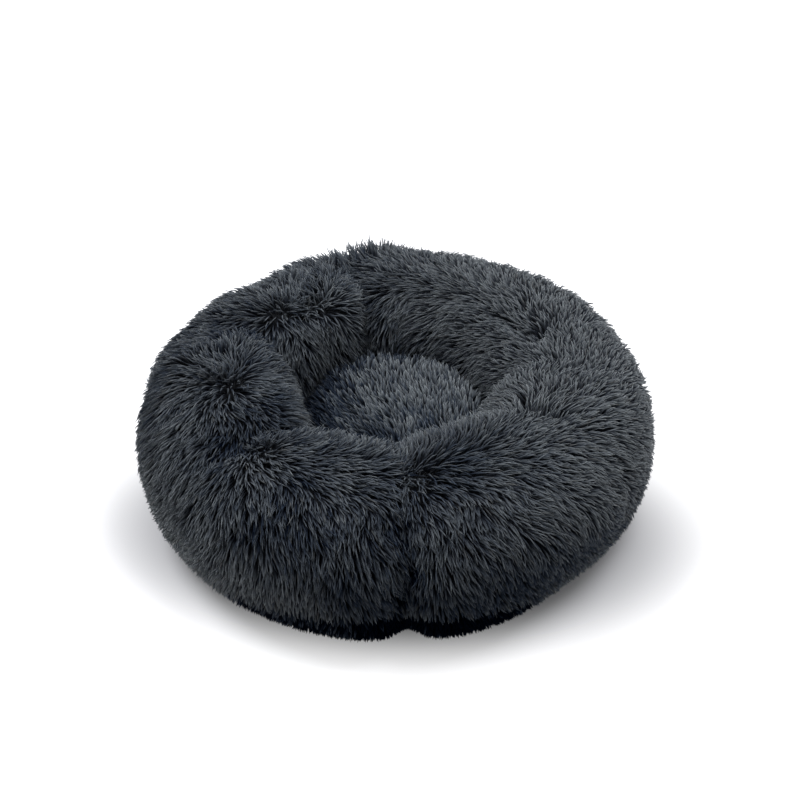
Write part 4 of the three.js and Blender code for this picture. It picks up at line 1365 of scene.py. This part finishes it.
stitch_length = 0.0024
stitch_pitch = 0.0034
thread_radius = 0.00024
thread_lift = thread_radius * 0.3
stitch_flatness = 0.8
binding_stitch_s = 0.0054
thread_finish = speckled(
    "black_thread", dark=(0.006, 0.007, 0.008), light=(0.035, 0.037, 0.040), speck={"Scale": 2500},
    roughness=0.6, specular=0.35)


def stitch():
    """One stitch: a short thread, rounded at its ends, that lies along x."""
    bpy.ops.object.select_all(action="DESELECT")
    bpy.ops.mesh.primitive_uv_sphere_add(segments=6, ring_count=4, radius=thread_radius)
    thread = bpy.context.object
    for vertex in thread.data.vertices:
        x, y, z = vertex.co
        end = math.copysign(stitch_length / 2 - thread_radius, z)
        vertex.co = (z + end if abs(z) > 1e-7 else 0, y, -x * stitch_flatness)
    return thread


def stitch_row(name, s, n, start, end):
    step = math.degrees(stitch_pitch / band_point(s, n)[0])
    row = repeated(name, stitch(), [band_frame(azimuth, s, n) for azimuth in np.arange(start, end, step)])
    row.data.materials.append(thread_finish)
    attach(row, "bed")


stitch_row("binding_stitches", binding_stitch_s, binding_outer + thread_lift, 0, 359.5)


# Zip tapes
# Two woven tapes, the upper one sewn to the raised edge of the cover and the lower one over the binding.
zip_end_margin = 0.008
zip_tail = 0.008
tape_thickness = 0.0006
tape_reach = 0.012
tape_inner_edge = 0.0022
raised_edge = band_length - 0.0015
chain_thickness = 0.0018
chain_width = 0.0056
run_clearance = 0.00025
slider_plate = 0.0008
stop_length = 0.0025
zip_centre = raised_edge - piece_gap - tape_reach
zip_plane = piece_gap + max(
    binding_thickness + piece_gap + tape_thickness / 2, slider_plate + run_clearance + chain_thickness / 2)
zip_radius = band_point(zip_centre, zip_plane)[0]
turn_per_metre = math.degrees(1 / zip_radius)
tape_start = zip_first_gather + zip_end_margin * turn_per_metre
tape_end = zip_last_gather - zip_end_margin * turn_per_metre
top_stop_start = tape_start + zip_tail * turn_per_metre
top_stop_end = top_stop_start + stop_length * turn_per_metre
coil_start = top_stop_end + piece_gap * turn_per_metre
bottom_stop_end = tape_end - zip_tail * turn_per_metre
bottom_stop_start = bottom_stop_end - stop_length * turn_per_metre
coil_end = bottom_stop_start - piece_gap * turn_per_metre

half_tape = tape_thickness / 2
tape_hem = 1.9
tape_steps = 160
tape_stitch_reach = 0.0098
tape_stitch_margin = 0.6
zip_tape_finish = woven_finish(
    "zip_tape", dark=(0.008, 0.009, 0.011), light=(0.030, 0.033, 0.038), threads_per_metre=1800,
    roughness=0.85, on_map=True, relief=0.00008)


def tape_section(azimuth, side):
    """The tape here. Past the stops the two tapes' tails come together."""
    past = max(top_stop_start - azimuth, azimuth - bottom_stop_end) / turn_per_metre
    edge = tape_inner_edge + (piece_gap / 2 - tape_inner_edge) * float(smooth(past, 0.001, 0.004))
    low, high = sorted((zip_centre + side * edge, zip_centre + side * tape_reach))
    return band_section(low, high, zip_plane - half_tape, zip_plane + half_tape)


for name, side in (("upper", 1), ("lower", -1)):
    tape = strip_round(
        f"zip_tape_{name}_cloth", lambda azimuth: tape_section(azimuth, side),
        np.linspace(tape_start - tape_hem, tape_end + tape_hem, tape_steps), closed=False)
    tape.data.materials.append(zip_tape_finish)
    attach(tape, "bed")
    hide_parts(f"zip_tape_{name}")
    stitch_row(
        f"zip_stitches_{name}", zip_centre + side * tape_stitch_reach, zip_plane + half_tape + thread_lift,
        tape_start + tape_stitch_margin, tape_end - tape_stitch_margin)


# Zip coils
# Each coil is one nylon filament wound round a cord and sewn to its tape. The loops of the two mesh.
coil_pitch = 0.0014
filament_radius = 0.00028
coil_overlap = 0.0003
coil_steps = 8
filament_sides = 5
nylon = speckled(
    "black_nylon", dark=(0.008, 0.009, 0.010), light=(0.022, 0.024, 0.026), speck={"Scale": 900},
    roughness=0.4, specular=0.5, gloss=(0.3, 0.5))


def round_tube(name, line, radius, sides):
    """A tube round a line of points, closed at both ends."""
    tangents = unit(np.gradient(line, axis=0))
    outward = unit(line * np.array([1, 1, 0]))
    across = unit(np.cross(tangents, np.cross(outward, [0, 0, 1])))
    over = np.cross(tangents, across)
    angles = (np.arange(sides) * 2 * math.pi / sides)[None, :, None]
    points = line[:, None, :] + radius * (
        across[:, None, :] * np.cos(angles) + over[:, None, :] * np.sin(angles))
    return smooth_piece(name, points, tube_faces(len(line), sides, closed=False))


coil_length = math.radians(coil_end - coil_start) * zip_radius
coil_turns = int(coil_length / coil_pitch)
coil_reach = (chain_width / 2 + coil_overlap) / 2 - filament_radius
coil_middle = (chain_width / 2 - coil_overlap) / 2
coil_rise = chain_thickness / 2 - filament_radius
steps = np.arange(coil_turns * coil_steps + 1)
wound = steps * 2 * math.pi / coil_steps
advance = (coil_length - 2 * coil_pitch) / coil_turns / zip_radius
for name, side, phase in (("upper", 1, 0.0), ("lower", -1, math.pi)):
    inset = (filament_radius + coil_pitch / 2 * (side > 0)) / zip_radius
    turns = np.radians(coil_start) + inset + steps / coil_steps * advance
    radius, height = band_point(
        zip_centre + side * (coil_middle + coil_reach * np.cos(wound + phase)),
        zip_plane + coil_rise * np.sin(wound + phase))
    coil = round_tube(
        f"zip_coil_{name}_filament", round_axis(radius, turns, height), filament_radius, filament_sides)
    coil.data.materials.append(nylon)
    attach(coil, "bed")
    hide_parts(f"zip_coil_{name}")


# Zip stops
# Small metal clamps, pressed on at both ends of the coils: one on each tape at the top, one over both below.
stop_bevel = 0.00035
chain_gap = 0.0015
top_stop_middle = (top_stop_start + top_stop_end) / 2
bottom_stop_middle = (bottom_stop_start + bottom_stop_end) / 2
side_width = chain_width / 2 - chain_gap / 2
side_middle = chain_gap / 2 + side_width / 2
painted_metal = speckled(
    "painted_metal", dark=(0.022, 0.023, 0.025), light=(0.060, 0.062, 0.066),
    speck={"Scale": 700, "Detail": 5}, roughness=0.35, specular=0.5, gloss=(0.22, 0.48), coat=0.3)

for name, azimuth, across, width in (
        ("zip_top_stop_upper", top_stop_middle, side_middle, side_width),
        ("zip_top_stop_lower", top_stop_middle, -side_middle, side_width),
        ("zip_bottom_stop", bottom_stop_middle, 0, chain_width)):
    bpy.ops.object.select_all(action="DESELECT")
    bpy.ops.mesh.primitive_cube_add(size=1)
    clamp = bpy.context.object
    clamp.name = f"{name}_clamp"
    size = Matrix.Diagonal((stop_length, width, chain_thickness, 1))
    clamp.data.transform(band_frame(azimuth, zip_centre + across, zip_plane) @ size)
    bevelled(stop_bevel, 3)
    bpy.ops.object.shade_smooth_by_angle(angle=edge_angle)
    clamp.data.materials.append(painted_metal)
    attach(clamp, "bed")
    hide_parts(name)


# Zip slider and pull
# Both are die cast and painted dark. The slider's two plates run on the coils either side of the tapes,
# and the pull swings on the pin between its posts.
cast_bevel = 0.00016
flat_angle = math.radians(2)
bevel_angle = math.radians(35)


def softened(name, node_name, body):
    """A cast piece with the CAD node's form, its edges rounded as a casting's are."""
    cast = bpy.data.objects.new(name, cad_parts[node_name].data.copy())
    bpy.context.scene.collection.objects.link(cast)
    cast.data.materials.clear()
    only(cast)
    bpy.ops.object.mode_set(mode="EDIT")
    bpy.ops.mesh.select_all(action="SELECT")
    bpy.ops.mesh.remove_doubles(threshold=0.000002)
    bpy.ops.mesh.dissolve_limited(angle_limit=flat_angle)
    bpy.ops.object.mode_set(mode="OBJECT")
    rounding = cast.modifiers.new("rounding", "BEVEL")
    rounding.width = cast_bevel
    rounding.segments = 2
    rounding.limit_method = "ANGLE"
    rounding.angle_limit = bevel_angle
    bpy.ops.object.modifier_apply(modifier=rounding.name)
    bpy.ops.object.shade_smooth_by_angle(angle=edge_angle)
    cast.data.materials.append(painted_metal)
    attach(cast, body)
    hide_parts(node_name)


softened("zip_slider_casting", "zip_slider", "slider")
softened("zip_pull_casting", "zip_pull", "pull")


# Care label
# A blank strip of white satin, caught in the stitching of the binding, which hangs out under the bolster.
label_azimuth = 150
label_width = 0.030
label_reach = 0.030
label_thickness = 0.0003
label_lift = 0.0004
label_foot = 0.00085
label_seam_margin = 0.0006
label_seam_lift = 0.00055
label_reach_shares = (0, 0.08, 0.3, 0.6, 1)
label_height_shares = (1, 0.5, 0.15, 0.04, 0)
label_steps = 26
label_columns = 18

top_radius, top_height = band_point(binding_width - label_seam_margin, binding_outer + label_seam_lift)
reach = np.linspace(0, 1, label_steps)
drop = np.interp(reach, label_reach_shares, label_height_shares)
drop = np.convolve(np.pad(drop, 2, mode="edge"), np.array([1, 4, 6, 4, 1]) / 16, mode="valid")
sideways = np.linspace(-0.5, 0.5, label_columns)
ripple = 1 + np.sin(9 * sideways[:, None] + 2 * reach[None, :])
points = np.empty((label_columns, label_steps, 3))
points[..., 0] = top_radius + label_reach * reach[None, :]
points[..., 1] = label_width * sideways[:, None]
points[..., 2] = label_foot + (top_height - label_foot) * drop[None, :]
points[..., 2] += label_lift * ripple * smooth(reach, 0.1, 0.9)[None, :]
label_faces = grid_faces(label_columns, label_steps, closed=False)
care_label = mesh_piece("care_label_satin", points.reshape(-1, 3), label_faces)
care_label.data.transform(Matrix.Rotation(math.radians(label_azimuth), 4, "Z"))
walled(care_label, label_thickness)
care_label.data.materials.append(speckled(
    "white_satin", dark=(0.74, 0.73, 0.70), light=(0.88, 0.87, 0.84), speck={"Scale": 1},
    stretch={"Rotation": (0, 0, math.radians(-label_azimuth)), "Scale": (300, 6000, 300)},
    roughness=0.45, specular=0.5, relief=0.00004, sheen=0.2))
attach(care_label, "bed")
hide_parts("care_label")
